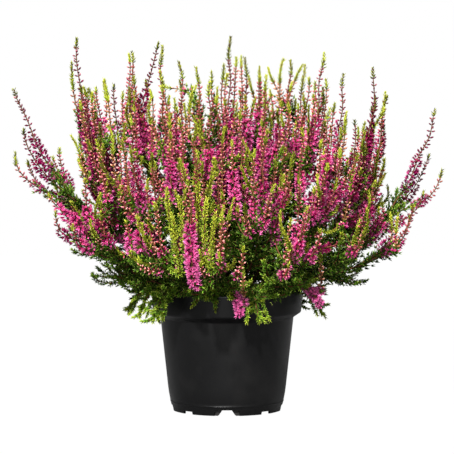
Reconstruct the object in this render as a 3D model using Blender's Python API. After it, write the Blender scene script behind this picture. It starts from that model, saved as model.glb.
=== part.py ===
"""Potted heather: a black nursery container, its peat, and the sprays and leafy shoots of one bush.

Each spray is one solid: a woody foot that stands in a plain hole in the peat, a leafy stem, and flower
spikes whose buds stand in crossed pairs, as heather's leaves and buds do. Lengths in the tables are
millimetres. Azimuth 0 points to the right of the bush's front view and 270 to the front.
"""
import math
from collections import namedtuple

import bpy
import numpy as np
from mathutils import Vector

MM = 0.001

# Container
RIM_RADIUS = 65.8
RIM_TOP = 105.0
RIM_FOOT_RADIUS = 64.6
RIM_FOOT = 86.0
BODY_TOP_RADIUS = 58.0
BODY_TOP = 81.5
BODY_LOW_RADIUS = 50.9
BODY_LOW = 16.0
FOOT_TOP_RADIUS = 48.4
FOOT_TOP = 4.0
FOOT_RADIUS = 47.5
WALL = 1.4
FOOT_WALL = 2.0
FLOOR_UNDERSIDE = 6.0
FLOOR_RADIUS = 47.6
POT_SIDES = 32
NOTCH_HEIGHT = 5.2
NOTCH_WIDTH = 22.0
THROAT_TOP_WIDTH = 8.5
THROAT_FOOT_WIDTH = 16.0
CHEEK_DEPTH = 5.0
CHEEK_CORNER = 1.5
SIDE_NOTCH_HEIGHT = 2.5
SIDE_NOTCH_WIDTH = 10.5
SIDE_NOTCH_AZIMUTH = 45.0
CUTTER_SPARE = 2.0
DRAIN_RADIUS = 4.0
DRAIN_RING = 30.0
DRAIN_SIDES = 8
SMOOTH_ANGLE = 30.0

# Peat
PEAT_TOP = 95.0
PEAT_SIDES = 16
PEAT_MOUND = 2.0
CRUMB = 1.2
GAP = 0.35
PEAT_SPARE = 0.7
STEM_FOOT = 12.0
STEM_RISE = 4.0
HOLE_SPARE = 0.5

# Stems and spikes
SIDES = 4
WOOD_RADIUS = 2.0
STEM_RADIUS = 1.3
SPIKE_CORE = 1.0
BLOOM_CORE = 2.7
LEAF_REACH = 4.2
BLOOM_REACH = 6.6
BUD_REACH = 4.3
TIP_REACH = 2.0
TIP_SHARE, BUD_SHARE, BLOOM_SHARE = 0.16, 0.38, 0.46
LEADER_LENGTH = 108.0
LATERAL_LENGTH = 76.0
BARE_LENGTH = 34.0
RING_STEP = {"tip": 8.0, "bud": 10.5, "bloom": 8.6, "leaf": 15.0, "bare": 20.0}
UPWARD_LEAN = 0.62
YOUNG_LENGTH = 14.0
ROOT_SINK = 1.0
WOBBLE = 3.0
IN_BUD_SHARE = 0.35
SEED = 21

UP = np.array((0.0, 0.0, 1.0))
# The pairs of the first ring face across this direction
GRAIN = (0.31, 0.72, 0.18)

# How a tier of the bush grows: the radius at which its stems leave the peat, their slope there, how far
# they lean from upright at the tip, how strongly each end's direction is held, and by how many degrees
# one stem's slope differs from another's.
Tier = namedtuple("Tier", "root slope lean first_pull last_pull spread colour laterals")

# A lateral leaves the stem at a share of its length, on one side, and ends beside and below the leader.
Lateral = namedtuple("Lateral", "start aside drop inward")

# A stem's azimuth in degrees, the reach of its tip from the pot's axis and its height above the table.
# Some leave the peat steeper than their tier does, or lean further out at the tip.
Stem = namedtuple("Stem", "azimuth reach height steeper leaning", defaults=(0.0, 0.0))

TIERS = {
    "heart_spray": Tier(7.0, 86, 2, 0.35, 0.35, 0, "bloom", ()),
    "inner_spray": Tier(16.0, 62, 3, 0.40, 0.52, 8, "bloom", (Lateral(0.48, 13, 34, 0),)),
    "outer_spray": Tier(25.5, 36, 3, 0.44, 0.56, 6, "bloom",
                        (Lateral(0.44, 17, 36, 6), Lateral(0.50, -16, 62, 2))),
    "low_spray": Tier(34.5, 23, 8, 0.45, 0.50, 0, "bloom",
                      (Lateral(0.46, 19, 26, 6), Lateral(0.54, -18, 42, 0))),
    "far_spray": Tier(34.5, 32, 17, 0.45, 0.42, 0, "bloom",
                      (Lateral(0.52, 13, 40, 6), Lateral(0.46, -13, 66, 12))),
    "reaching_spray": Tier(34.5, 23, 4, 0.50, 0.35, 0, "bloom", (Lateral(0.55, 14, 12, 16),)),
    "sprawling_shoot": Tier(34.5, 26, 82, 0.40, 0.40, 0, "leaf",
                            (Lateral(0.52, 15, -12, 10), Lateral(0.60, -15, -6, 4))),
    "skirt_shoot": Tier(44.0, 64, 160, 0.66, 0.52, 0, "leaf",
                        (Lateral(0.50, 12, -2, 2), Lateral(0.58, -12, -5, 0))),
    "drooping_spray": Tier(44.0, 64, 140, 0.62, 0.40, 0, "bloom", (Lateral(0.86, 3, -42, 2),)),
}

STEMS = {
    "heart_spray": (Stem(80, 14, 324), Stem(178, 26, 298), Stem(268, 22, 293), Stem(355, 30, 298)),
    "inner_spray": (Stem(170, 85, 311), Stem(214, 68, 296), Stem(256, 60, 288), Stem(300, 66, 293),
                    Stem(348, 84, 311), Stem(30, 78, 299), Stem(74, 62, 305), Stem(121, 80, 301)),
    "outer_spray": (Stem(176, 131, 323), Stem(203, 130, 280), Stem(230, 126, 261), Stem(257, 121, 254),
                    Stem(285, 121, 250), Stem(313, 126, 267), Stem(342, 133, 298), Stem(8, 139, 276),
                    Stem(36, 128, 290), Stem(63, 124, 301), Stem(92, 120, 297), Stem(120, 119, 314),
                    Stem(149, 127, 284)),
    "low_spray": (Stem(215, 148, 206), Stem(244, 137, 190), Stem(268, 132, 180), Stem(299, 136, 186),
                  Stem(327.5, 148, 204), Stem(24, 150, 208), Stem(50, 140, 198), Stem(78, 135, 193),
                  Stem(106, 135, 193), Stem(134, 146, 200), Stem(162, 155, 226)),
    "far_spray": (Stem(188, 184, 281, steeper=9), Stem(2, 182, 260, steeper=-8)),
    "reaching_spray": (Stem(202, 163, 192, steeper=5, leaning=34), Stem(345, 165, 182)),
    "sprawling_shoot": (Stem(193, 120, 120), Stem(11, 120, 120), Stem(148, 118, 124)),
    "skirt_shoot": (Stem(209, 87, 87), Stem(224, 88, 82), Stem(256, 88, 86), Stem(288, 88, 84),
                    Stem(336, 90, 86), Stem(354, 83, 90, steeper=3), Stem(42, 90, 84), Stem(64, 92, 88),
                    Stem(92, 90, 84), Stem(120, 90, 86), Stem(175, 86, 84)),
    "drooping_spray": (Stem(277, 88, 92), Stem(320, 104, 98)),
}

# Each colour and its roughness
COLOURS = {
    "container": ((0.012, 0.012, 0.013), 0.48),
    "peat": ((0.045, 0.026, 0.015), 0.95),
    "bloom": ((0.46, 0.035, 0.19), 0.60),
    "bud": ((0.42, 0.24, 0.10), 0.60),
    "leaf": ((0.13, 0.22, 0.035), 0.60),
}


def clear_scene():
    """Starts from an empty scene."""
    for obj in list(bpy.data.objects):
        bpy.data.objects.remove(obj)


def material(name):
    """One Principled material for each named colour."""
    found = bpy.data.materials.get(name)
    if found:
        return found
    colour, roughness = COLOURS[name]
    made = bpy.data.materials.new(name)
    made.use_nodes = True
    shader = made.node_tree.nodes["Principled BSDF"]
    shader.inputs["Base Color"].default_value = (*colour, 1.0)
    shader.inputs["Roughness"].default_value = roughness
    return made


def solid(name, points, faces, colour):
    """A mesh object from points in millimetres."""
    mesh = bpy.data.meshes.new(name)
    mesh.from_pydata([Vector(p) * MM for p in points], [], faces)
    mesh.materials.append(material(colour))
    obj = bpy.data.objects.new(name, mesh)
    bpy.context.scene.collection.objects.link(obj)
    return obj


def boolean(target, helpers, operation, solver="EXACT"):
    """Joins the helpers to the target, or cuts them from it, and removes them."""
    group = bpy.data.collections.new(target.name + "_helpers")
    bpy.context.scene.collection.children.link(group)
    for helper in helpers:
        bpy.context.scene.collection.objects.unlink(helper)
        group.objects.link(helper)
    step = target.modifiers.new(operation.lower(), "BOOLEAN")
    step.operation = operation
    step.operand_type = "COLLECTION"
    step.collection = group
    step.solver = solver
    bpy.context.view_layer.objects.active = target
    bpy.ops.object.modifier_apply(modifier=step.name)
    for helper in helpers:
        bpy.data.objects.remove(helper)
    bpy.data.collections.remove(group)


def prism(name, corners, low, high, colour="container"):
    """An upright prism over flat corners."""
    count = len(corners)
    points = [(x, y, z) for z in (low, high) for x, y in corners]
    faces = [tuple(range(count))[::-1], tuple(range(count, 2 * count))]
    for i in range(count):
        after = (i + 1) % count
        faces.append((i, after, count + after, count + i))
    return solid(name, points, faces, colour)


def turned(name, profile, sides, colour):
    """A closed profile of radius and height, outer side first and top down, turned about the axis.
    A point on the axis becomes one vertex."""
    points, rings, faces = [], [], []
    for radius, height in profile:
        if radius == 0:
            rings.append([len(points)] * sides)
            points.append((0, 0, height))
            continue
        rings.append(list(range(len(points), len(points) + sides)))
        for k in range(sides):
            turn = 2 * math.pi * (k + 0.5) / sides
            points.append((radius * math.cos(turn), radius * math.sin(turn), height))
    for here, below in zip(rings, rings[1:] + rings[:1]):
        for k in range(sides):
            after = (k + 1) % sides
            corners = (here[k], below[k], below[after], here[after])
            face = tuple(dict.fromkeys(corners))
            if len(face) > 2:
                faces.append(face)
    return solid(name, points, faces, colour)


def wedge(name, azimuth, near, far, foot_width, top_width, low, high):
    """A trapezium seen along a radius, run out along it from near to far."""
    turn = math.radians(azimuth)
    out = np.array((math.cos(turn), math.sin(turn)))
    side = np.array((-out[1], out[0]))
    points = []
    for radius in (near, far):
        for width, z in ((foot_width, low), (top_width, high)):
            for sign in (-1, 1):
                x, y = out * radius + side * sign * width / 2
                points.append((x, y, z))
    faces = [(2, 3, 1, 0), (5, 7, 6, 4), (1, 5, 4, 0), (6, 7, 3, 2), (4, 6, 2, 0), (3, 7, 5, 1)]
    return solid(name, points, faces, "container")


def pot_shell():
    """The container's turned wall: collar, tapered body, a foot wall and a floor raised inside it."""
    floor_top = FLOOR_UNDERSIDE + WALL
    profile = (
        (RIM_RADIUS, RIM_TOP),
        (RIM_FOOT_RADIUS, RIM_FOOT),
        (BODY_TOP_RADIUS, BODY_TOP),
        (BODY_LOW_RADIUS, BODY_LOW),
        (FOOT_TOP_RADIUS, FOOT_TOP),
        (FOOT_RADIUS, 0.0),
        (FOOT_RADIUS - FOOT_WALL, 0.0),
        (FOOT_RADIUS - FOOT_WALL, FLOOR_UNDERSIDE),
        (0, FLOOR_UNDERSIDE),
        (0, floor_top),
        (FLOOR_RADIUS, floor_top),
        (BODY_LOW_RADIUS - WALL, BODY_LOW),
        (BODY_TOP_RADIUS - WALL, BODY_TOP),
        (RIM_FOOT_RADIUS - WALL, RIM_FOOT),
        (RIM_RADIUS - WALL, RIM_TOP),
    )
    return turned("pot", profile, POT_SIDES, "container")


def drain(name, azimuth):
    """A cutter for a round hole in the floor."""
    turn = math.radians(azimuth)
    corners = []
    for k in range(DRAIN_SIDES):
        angle = 2 * math.pi * k / DRAIN_SIDES
        corners.append((DRAIN_RING * math.cos(turn) + DRAIN_RADIUS * math.cos(angle),
                        DRAIN_RING * math.sin(turn) + DRAIN_RADIUS * math.sin(angle)))
    return prism(name, corners, FLOOR_UNDERSIDE - WALL, FLOOR_UNDERSIDE + 2 * WALL)


def pot():
    """The container. At each quarter of its foot a drainage notch opens between two cheeks under the
    floor, and a shallow notch lies between each two of them."""
    body = pot_shell()
    outside = FOOT_RADIUS + CUTTER_SPARE
    inside = FOOT_RADIUS - FOOT_WALL - CHEEK_DEPTH
    cheek_width = NOTCH_WIDTH + 2 * CHEEK_CORNER
    cheek_front = math.sqrt(FOOT_RADIUS**2 - (cheek_width / 2) ** 2) - FOOT_WALL / 3
    below = -CUTTER_SPARE
    cheeks, cutters = [], []
    for quarter in range(4):
        azimuth = 90.0 * quarter
        cheeks.append(wedge(f"cheek_{quarter}", azimuth, inside, cheek_front,
                            cheek_width, cheek_width, 0.0, FLOOR_UNDERSIDE + WALL / 2))
        cutters.append(wedge(f"notch_{quarter}", azimuth, cheek_front + 0.1, outside,
                             NOTCH_WIDTH, NOTCH_WIDTH - CUTTER_SPARE, below, NOTCH_HEIGHT))
        cutters.append(wedge(f"throat_{quarter}", azimuth, inside - CUTTER_SPARE, cheek_front + 1,
                             THROAT_FOOT_WIDTH, THROAT_TOP_WIDTH, below, NOTCH_HEIGHT - 0.4))
        cutters.append(wedge(f"side_notch_{quarter}", azimuth + SIDE_NOTCH_AZIMUTH, inside, outside,
                             SIDE_NOTCH_WIDTH, SIDE_NOTCH_WIDTH, below, SIDE_NOTCH_HEIGHT))
        cutters.append(drain(f"drain_{quarter}", azimuth))
    boolean(body, cheeks, "UNION")
    boolean(body, cutters, "DIFFERENCE")
    body.data.shade_smooth()
    body.data.set_sharp_from_angle(angle=math.radians(SMOOTH_ANGLE))


def peat(holes):
    """The root ball: it fills the container with a little clearance; its top is crumbly and mounded."""
    wall = WALL + PEAT_SPARE
    share = (PEAT_TOP - RIM_FOOT) / (RIM_TOP - RIM_FOOT)
    top_radius = RIM_FOOT_RADIUS + (RIM_RADIUS - RIM_FOOT_RADIUS) * share - wall
    profile = (
        (0, PEAT_TOP + PEAT_MOUND),
        (top_radius * 0.35, PEAT_TOP + PEAT_MOUND),
        (top_radius * 0.7, PEAT_TOP + 0.5 * PEAT_MOUND),
        (top_radius, PEAT_TOP - 1.0),
        (RIM_FOOT_RADIUS - wall, RIM_FOOT + PEAT_SPARE),
        (BODY_TOP_RADIUS - wall, BODY_TOP + PEAT_SPARE),
        (BODY_LOW_RADIUS - wall, BODY_LOW),
        (FLOOR_RADIUS - PEAT_SPARE, FLOOR_UNDERSIDE + WALL + GAP),
        (0, FLOOR_UNDERSIDE + WALL + GAP),
    )
    body = turned("peat", profile, PEAT_SIDES, "peat")
    crumbs = np.random.default_rng(SEED)
    for vertex in body.data.vertices:
        if vertex.co.z > (PEAT_TOP - 0.5) * MM:
            vertex.co.z += crumbs.uniform(-CRUMB, CRUMB) * MM
    boolean(body, holes, "DIFFERENCE")


def bezier(points, t):
    """A cubic curve through its end points, held by its middle ones."""
    a, b, c, d = (np.array(p, float) for p in points)
    t = np.asarray(t)[:, None]
    return (1 - t) ** 3 * a + 3 * (1 - t) ** 2 * t * b + 3 * (1 - t) * t**2 * c + t**3 * d


def length_along(path):
    """The distance from the path's start to each of its points."""
    return np.concatenate(([0.0], np.cumsum(np.linalg.norm(np.diff(path, axis=0), axis=1))))


def at_distance(path, distance):
    """Points of the path at given distances from its start."""
    along = length_along(path)
    return np.stack([np.interp(distance, along, path[:, k]) for k in range(3)], axis=-1)


def unit(vector):
    """The vector's direction."""
    return vector / np.linalg.norm(vector)


def main_path(tier, stem, wobble, steeper):
    """A stem's centre line: upright in the peat, then a curve that leaves at the tier's slope and ends at
    its lean. wobble bends it a little out of its upright plane, and steeper adds to the slope."""
    turn = math.radians(stem.azimuth)
    slope = math.radians(tier.slope + stem.steeper + steeper)
    lean = math.radians(tier.lean + stem.leaning)
    out = np.array((math.cos(turn), math.sin(turn), 0.0))
    side = np.array((-out[1], out[0], 0.0))
    start = out * tier.root + UP * (PEAT_TOP + STEM_RISE)
    end = out * stem.reach + UP * stem.height
    chord = np.linalg.norm(end - start)
    first = start + chord * tier.first_pull * (out * math.cos(slope) + UP * math.sin(slope))
    last = end - chord * tier.last_pull * (out * math.sin(lean) + UP * math.cos(lean))
    t = np.linspace(0, 1, 90)
    curve = bezier((start, first, last, end), t)
    curve += np.outer(np.sin(math.pi * t) ** 2 * wobble, side)
    foot = start - UP * (STEM_RISE + STEM_FOOT)
    return np.vstack((foot, curve)), out, side


def lateral_path(stem, out, side, lateral, droops):
    """A side spike's centre line: it leaves the stem at a fork and rises to stand beside the leader."""
    whole = length_along(stem)[-1]
    start, ahead = at_distance(stem, np.array((lateral.start, lateral.start + 0.03)) * whole)
    heading = unit(ahead - start)
    end = stem[-1] + side * lateral.aside - out * lateral.inward
    end[2] -= lateral.drop
    chord = np.linalg.norm(end - start)
    aside = side * math.copysign(1.0, lateral.aside)
    first = start + chord * 0.34 * unit(heading + 0.75 * aside)
    finish = 0.6 * out + 0.4 * aside - UP if droops else 0.12 * out + UP
    last = end - chord * 0.42 * unit(finish)
    return bezier((start - heading * ROOT_SINK, first, last, end), np.linspace(0, 1, 60))


def shape_at(from_tip, flower_length, bare_from):
    """What stands at a distance from a shoot's tip: the zone, its core's radius and its pairs' reach."""
    if from_tip >= bare_from:
        return "bare", WOOD_RADIUS, WOOD_RADIUS
    tip_end = TIP_SHARE * flower_length
    bud_end = tip_end + BUD_SHARE * flower_length
    bloom_end = bud_end + BLOOM_SHARE * flower_length
    if flower_length == 0 or from_tip >= bloom_end:
        young = min(1.0, from_tip / YOUNG_LENGTH)
        return "leaf", STEM_RADIUS * (0.5 + 0.5 * young), LEAF_REACH * (0.55 + 0.45 * young)
    if from_tip < tip_end:
        share = from_tip / tip_end
        return "tip", 0.5 + 0.3 * share, 1.1 + (TIP_REACH - 1.1) * share
    if from_tip < bud_end:
        share = (from_tip - tip_end) / (bud_end - tip_end)
        return "bud", SPIKE_CORE, BUD_REACH * (0.72 + 0.28 * share)
    share = (from_tip - bud_end) / (bloom_end - bud_end)
    full = math.sin(math.pi * (0.28 + 0.5 * share))
    return "bloom", BLOOM_CORE, BLOOM_REACH * (0.72 + 0.28 * full)


def rings_from_tip(whole, flower_length, bare_from, upright):
    """Where a shoot's rings lie, measured from its tip. The upright foot has one at each of its ends."""
    last = whole - upright
    distances = [RING_STEP["tip"] * 0.55]
    while True:
        zone = shape_at(distances[-1], flower_length, bare_from)[0]
        ahead = distances[-1] + RING_STEP[zone]
        if ahead > last - 0.4 * RING_STEP[zone]:
            break
        distances.append(ahead)
    distances.append(last)
    if upright:
        distances.append(whole)
    return distances


def shoot(name, path, flower_length, bare_from, upright, colour):
    """One closed shoot along its path: rings of four corners, of which two opposite ones reach out as a
    pair of buds or leaves and the other two lie on the core. The next ring's pair is crossed to it."""
    whole = length_along(path)[-1]
    from_tip = rings_from_tip(whole, flower_length, bare_from, upright)
    distances = whole - np.array(from_tip[::-1])
    centres = at_distance(path, distances)
    ahead_of = at_distance(path, np.minimum(distances + 1.0, whole))
    heads = ahead_of - at_distance(path, np.maximum(distances - 1.0, 0.0))
    along = np.array([unit(h) for h in heads])
    across = unit(np.cross(along[0], GRAIN))
    points, faces = [], []
    for i, (centre, ahead) in enumerate(zip(centres, along)):
        across = unit(across - ahead * np.dot(across, ahead))
        beside = np.cross(ahead, across)
        zone, core, reach = shape_at(whole - distances[i], flower_length, bare_from)
        for j in range(SIDES):
            turn = 2 * math.pi * j / SIDES
            outward = across * math.cos(turn) + beside * math.sin(turn)
            bears = (i + j) % 2 == 0 and 0 < i and zone != "bare"
            if bears:
                lift = UPWARD_LEAN * (reach - core)
                points.append(centre + outward * reach + ahead * min(lift, RING_STEP[zone] * 0.55))
            else:
                points.append(centre + outward * core)
    for i in range(len(centres) - 1):
        for j in range(SIDES):
            low, low_next = i * SIDES + j, i * SIDES + (j + 1) % SIDES
            high, high_next = low + SIDES, low_next + SIDES
            if (i + j) % 2 == 0:
                faces += [(low, low_next, high), (low_next, high_next, high)]
            else:
                faces += [(low, low_next, high_next), (low, high_next, high)]
    top = (len(centres) - 1) * SIDES
    points.append(path[-1])
    faces += [(top + j, top + (j + 1) % SIDES, len(points) - 1) for j in range(SIDES)]
    faces.append(tuple(range(SIDES))[::-1])
    return solid(name, points, faces, colour)


def hole(name, tier, azimuth):
    """A plain square hole in the peat round a stem's foot."""
    turn = math.radians(azimuth)
    x, y = tier.root * math.cos(turn), tier.root * math.sin(turn)
    radius = WOOD_RADIUS + HOLE_SPARE
    across = unit(np.cross(UP, GRAIN))
    beside = np.cross(UP, across)
    corners = []
    for j in range(SIDES):
        angle = 2 * math.pi * j / SIDES
        outward = across * math.cos(angle) + beside * math.sin(angle)
        corners.append((x + outward[0] * radius, y + outward[1] * radius))
    return prism(name, corners, PEAT_TOP - STEM_FOOT - GAP, PEAT_TOP + 8.0, "peat")


def spray(name, tier, stem, draw):
    """A stem with its laterals, fused into one solid. Some sprays are still more in bud than in bloom."""
    colour = tier.colour
    if colour == "bloom" and draw.random() < IN_BUD_SHARE:
        colour = "bud"
    wobble = draw.uniform(-WOBBLE, WOBBLE)
    steeper = draw.uniform(-tier.spread, tier.spread)
    path, out, side = main_path(tier, stem, wobble, steeper)
    leafy = tier.colour == "leaf"
    droops = tier.lean > 90
    flower = 0 if leafy or droops else LEADER_LENGTH
    bare_from = length_along(path)[-1] - BARE_LENGTH
    main = shoot(name, path, flower, bare_from, STEM_FOOT + STEM_RISE, colour)
    laterals = []
    for k, lateral in enumerate(tier.laterals):
        varied = lateral._replace(aside=lateral.aside * draw.uniform(0.85, 1.1),
                                  drop=lateral.drop + draw.uniform(-6.0, 6.0))
        branch = lateral_path(path, out, side, varied, droops and leafy)
        flower = 0 if leafy else min(LATERAL_LENGTH, 0.9 * length_along(branch)[-1])
        laterals.append(shoot(f"{name}_lateral_{k}", branch, flower, math.inf, 0, colour))
    if laterals:
        boolean(main, laterals, "UNION", "MANIFOLD")


def build():
    """The whole plant in its container."""
    clear_scene()
    draw = np.random.default_rng(SEED)
    holes = []
    for kind, stems in STEMS.items():
        tier = TIERS[kind]
        for number, stem in enumerate(stems, start=1):
            name = f"{kind}_{number:02d}"
            spray(name, tier, stem, draw)
            holes.append(hole(f"{name}_hole", tier, stem.azimuth))
    pot()
    peat(holes)


build()
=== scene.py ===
"""Dresses a potted heather: fine leaves, buds and florets on every stem, a satin black pot and crumbly peat.

The file is laid out as a Blender add-on and is run as a script. Tables of lengths are in millimetres and
angles in degrees, as in the part's source; meshes and properties are in metres.
"""

import math
from collections import namedtuple

import bpy
import numpy as np
from bpy.props import FloatProperty, FloatVectorProperty, PointerProperty
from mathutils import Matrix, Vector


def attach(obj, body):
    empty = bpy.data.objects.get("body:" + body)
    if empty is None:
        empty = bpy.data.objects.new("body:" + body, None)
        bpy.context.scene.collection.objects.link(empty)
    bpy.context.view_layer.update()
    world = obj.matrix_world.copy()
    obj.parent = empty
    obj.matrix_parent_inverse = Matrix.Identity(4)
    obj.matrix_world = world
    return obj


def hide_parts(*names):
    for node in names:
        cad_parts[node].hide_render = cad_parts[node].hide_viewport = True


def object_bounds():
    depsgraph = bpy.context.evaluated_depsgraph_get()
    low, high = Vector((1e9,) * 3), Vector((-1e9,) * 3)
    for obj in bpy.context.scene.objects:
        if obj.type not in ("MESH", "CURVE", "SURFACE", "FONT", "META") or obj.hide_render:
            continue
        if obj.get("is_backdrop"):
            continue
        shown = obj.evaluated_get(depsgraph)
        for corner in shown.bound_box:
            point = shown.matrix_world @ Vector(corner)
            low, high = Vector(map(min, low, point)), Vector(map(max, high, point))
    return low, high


bl_info = {
    "name": "Potted Heather",
    "version": (1, 0, 0),
    "blender": (4, 5, 0),
    "location": "View3D > Sidebar > Heather",
    "description": "Grows the sprays of a potted heather and dresses its pot, peat and stage",
    "category": "Object",
}

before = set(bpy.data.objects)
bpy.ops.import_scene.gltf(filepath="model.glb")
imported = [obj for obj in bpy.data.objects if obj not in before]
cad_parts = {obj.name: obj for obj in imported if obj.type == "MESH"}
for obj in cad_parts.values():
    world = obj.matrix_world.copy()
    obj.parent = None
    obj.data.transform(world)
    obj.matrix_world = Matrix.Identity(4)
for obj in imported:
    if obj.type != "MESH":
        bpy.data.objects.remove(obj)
CAD_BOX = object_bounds()

MM = 0.001
UP = np.array((0.0, 0.0, 1.0))
TURN = 2 * math.pi
GOLDEN_ANGLE = math.pi * (3 - math.sqrt(5))

# How the bush grows, as in the part's source

PEAT_TOP = 95.0
STEM_FOOT = 12.0
STEM_RISE = 4.0
LEADER_LENGTH = 108.0
BARE_LENGTH = 34.0
ROOT_SINK = 1.0
WOBBLE = 3.0
IN_BUD_SHARE = 0.35
SEED = 21
FORK_STEP = 0.03
FORK_PULL = 0.34

Tier = namedtuple("Tier", "root slope lean first_pull last_pull spread colour laterals")
Lateral = namedtuple("Lateral", "start aside drop inward")
Stem = namedtuple("Stem", "azimuth reach height steeper leaning", defaults=(0.0, 0.0))
Spray = namedtuple("Spray", "name kind colour leafy droops path out side laterals")

TIERS = {
    "heart_spray": Tier(7.0, 86, 2, 0.35, 0.35, 0, "bloom", ()),
    "inner_spray": Tier(16.0, 62, 3, 0.40, 0.52, 8, "bloom", (Lateral(0.48, 13, 34, 0),)),
    "outer_spray": Tier(25.5, 36, 3, 0.44, 0.56, 6, "bloom",
                        (Lateral(0.44, 17, 36, 6), Lateral(0.50, -16, 62, 2))),
    "low_spray": Tier(34.5, 23, 8, 0.45, 0.50, 0, "bloom",
                      (Lateral(0.46, 19, 26, 6), Lateral(0.54, -18, 42, 0))),
    "far_spray": Tier(34.5, 32, 17, 0.45, 0.42, 0, "bloom",
                      (Lateral(0.52, 13, 40, 6), Lateral(0.46, -13, 66, 12))),
    "reaching_spray": Tier(34.5, 23, 4, 0.50, 0.35, 0, "bloom", (Lateral(0.55, 14, 12, 16),)),
    "sprawling_shoot": Tier(34.5, 26, 82, 0.40, 0.40, 0, "leaf",
                            (Lateral(0.52, 15, -12, 10), Lateral(0.60, -15, -6, 4))),
    "skirt_shoot": Tier(44.0, 64, 160, 0.66, 0.52, 0, "leaf",
                        (Lateral(0.50, 12, -2, 2), Lateral(0.58, -12, -5, 0))),
    "drooping_spray": Tier(44.0, 64, 140, 0.62, 0.40, 0, "bloom", (Lateral(0.86, 3, -42, 2),)),
}

STEMS = {
    "heart_spray": (Stem(80, 14, 324), Stem(178, 26, 298), Stem(268, 22, 293), Stem(355, 30, 298)),
    "inner_spray": (Stem(170, 85, 311), Stem(214, 68, 296), Stem(256, 60, 288), Stem(300, 66, 293),
                    Stem(348, 84, 311), Stem(30, 78, 299), Stem(74, 62, 305), Stem(121, 80, 301)),
    "outer_spray": (Stem(176, 131, 323), Stem(203, 130, 280), Stem(230, 126, 261), Stem(257, 121, 254),
                    Stem(285, 121, 250), Stem(313, 126, 267), Stem(342, 133, 298), Stem(8, 139, 276),
                    Stem(36, 128, 290), Stem(63, 124, 301), Stem(92, 120, 297), Stem(120, 119, 314),
                    Stem(149, 127, 284)),
    "low_spray": (Stem(215, 148, 206), Stem(244, 137, 190), Stem(268, 132, 180), Stem(299, 136, 186),
                  Stem(327.5, 148, 204), Stem(24, 150, 208), Stem(50, 140, 198), Stem(78, 135, 193),
                  Stem(106, 135, 193), Stem(134, 146, 200), Stem(162, 155, 226)),
    "far_spray": (Stem(188, 184, 281, steeper=9), Stem(2, 182, 260, steeper=-8)),
    "reaching_spray": (Stem(202, 163, 192, steeper=5, leaning=34), Stem(345, 165, 182)),
    "sprawling_shoot": (Stem(193, 120, 120), Stem(11, 120, 120), Stem(148, 118, 124)),
    "skirt_shoot": (Stem(209, 87, 87), Stem(224, 88, 82), Stem(256, 88, 86), Stem(288, 88, 84),
                    Stem(336, 90, 86), Stem(354, 83, 90, steeper=3), Stem(42, 90, 84), Stem(64, 92, 88),
                    Stem(92, 90, 84), Stem(120, 90, 86), Stem(175, 86, 84)),
    "drooping_spray": (Stem(277, 88, 92), Stem(320, 104, 98)),
}


def unit(vectors):
    """Each vector divided by its length."""
    return vectors / np.linalg.norm(vectors, axis=-1, keepdims=True)


def bezier(points, steps):
    """A cubic curve: the sum of its four points weighted by the Bernstein polynomials of even steps of t."""
    a, b, c, d = (np.array(p, float) for p in points)
    t = np.linspace(0, 1, steps)[:, None]
    return (1 - t) ** 3 * a + 3 * (1 - t) ** 2 * t * b + 3 * (1 - t) * t**2 * c + t**3 * d


def length_along(path):
    """The running sum of the distances between a path's points."""
    return np.concatenate(([0.0], np.cumsum(np.linalg.norm(np.diff(path, axis=0), axis=1))))


def length_of(path):
    """The sum of the distances between a path's points."""
    return length_along(path)[-1]


def at_distance(path, distance):
    """Points of the path at given distances from its start, by straight steps between its points."""
    along = length_along(path)
    return np.stack([np.interp(distance, along, values) for values in path.T], axis=-1)


def at_share(path, share):
    """Points of the path at given shares of its length."""
    return at_distance(path, np.asarray(share) * length_of(path))


def fork(path, share):
    """The point of the path at a share of its length, and the path's heading there."""
    here, ahead = at_share(path, (share, share + FORK_STEP))
    return here, unit(ahead - here)


def forked_path(here, heading, towards, end, finish, last_pull, steps):
    """A cubic curve that leaves a fork between its heading and a direction and ends in another. Each end's
    direction is held over a share of the chord."""
    chord = np.linalg.norm(end - here)
    first = here + chord * FORK_PULL * unit(heading + towards)
    last = end - chord * last_pull * unit(finish)
    return bezier((here - heading * ROOT_SINK, first, last, end), steps)


def main_path(tier, stem, wobble, steeper):
    """A stem's centre line: upright in the peat, then a cubic curve that leaves at the tier's slope and
    ends at its lean, moved sideways by wobble times the squared sine of half a turn along it."""
    azimuth = math.radians(stem.azimuth)
    slope = math.radians(tier.slope + stem.steeper + steeper)
    lean = math.radians(tier.lean + stem.leaning)
    out = np.array((math.cos(azimuth), math.sin(azimuth), 0.0))
    side = np.array((-out[1], out[0], 0.0))
    start = out * tier.root + UP * (PEAT_TOP + STEM_RISE)
    end = out * stem.reach + UP * stem.height
    chord = np.linalg.norm(end - start)
    first = start + chord * tier.first_pull * (out * math.cos(slope) + UP * math.sin(slope))
    last = end - chord * tier.last_pull * (out * math.sin(lean) + UP * math.cos(lean))
    curve = bezier((start, first, last, end), 90)
    curve += np.outer(np.sin(math.pi * np.linspace(0, 1, len(curve))) ** 2 * wobble, side)
    return np.vstack((start - UP * (STEM_RISE + STEM_FOOT), curve)), out, side


def lateral_path(stem, out, side, lateral, droops):
    """A side spike's centre line, from a fork on the stem to a place beside the leader."""
    here, heading = fork(stem, lateral.start)
    end = stem[-1] + side * lateral.aside - out * lateral.inward - UP * lateral.drop
    aside = side * math.copysign(1.0, lateral.aside)
    finish = 0.6 * out + 0.4 * aside - UP if droops else 0.12 * out + UP
    return forked_path(here, heading, 0.75 * aside, end, finish, 0.42, 60)


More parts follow.
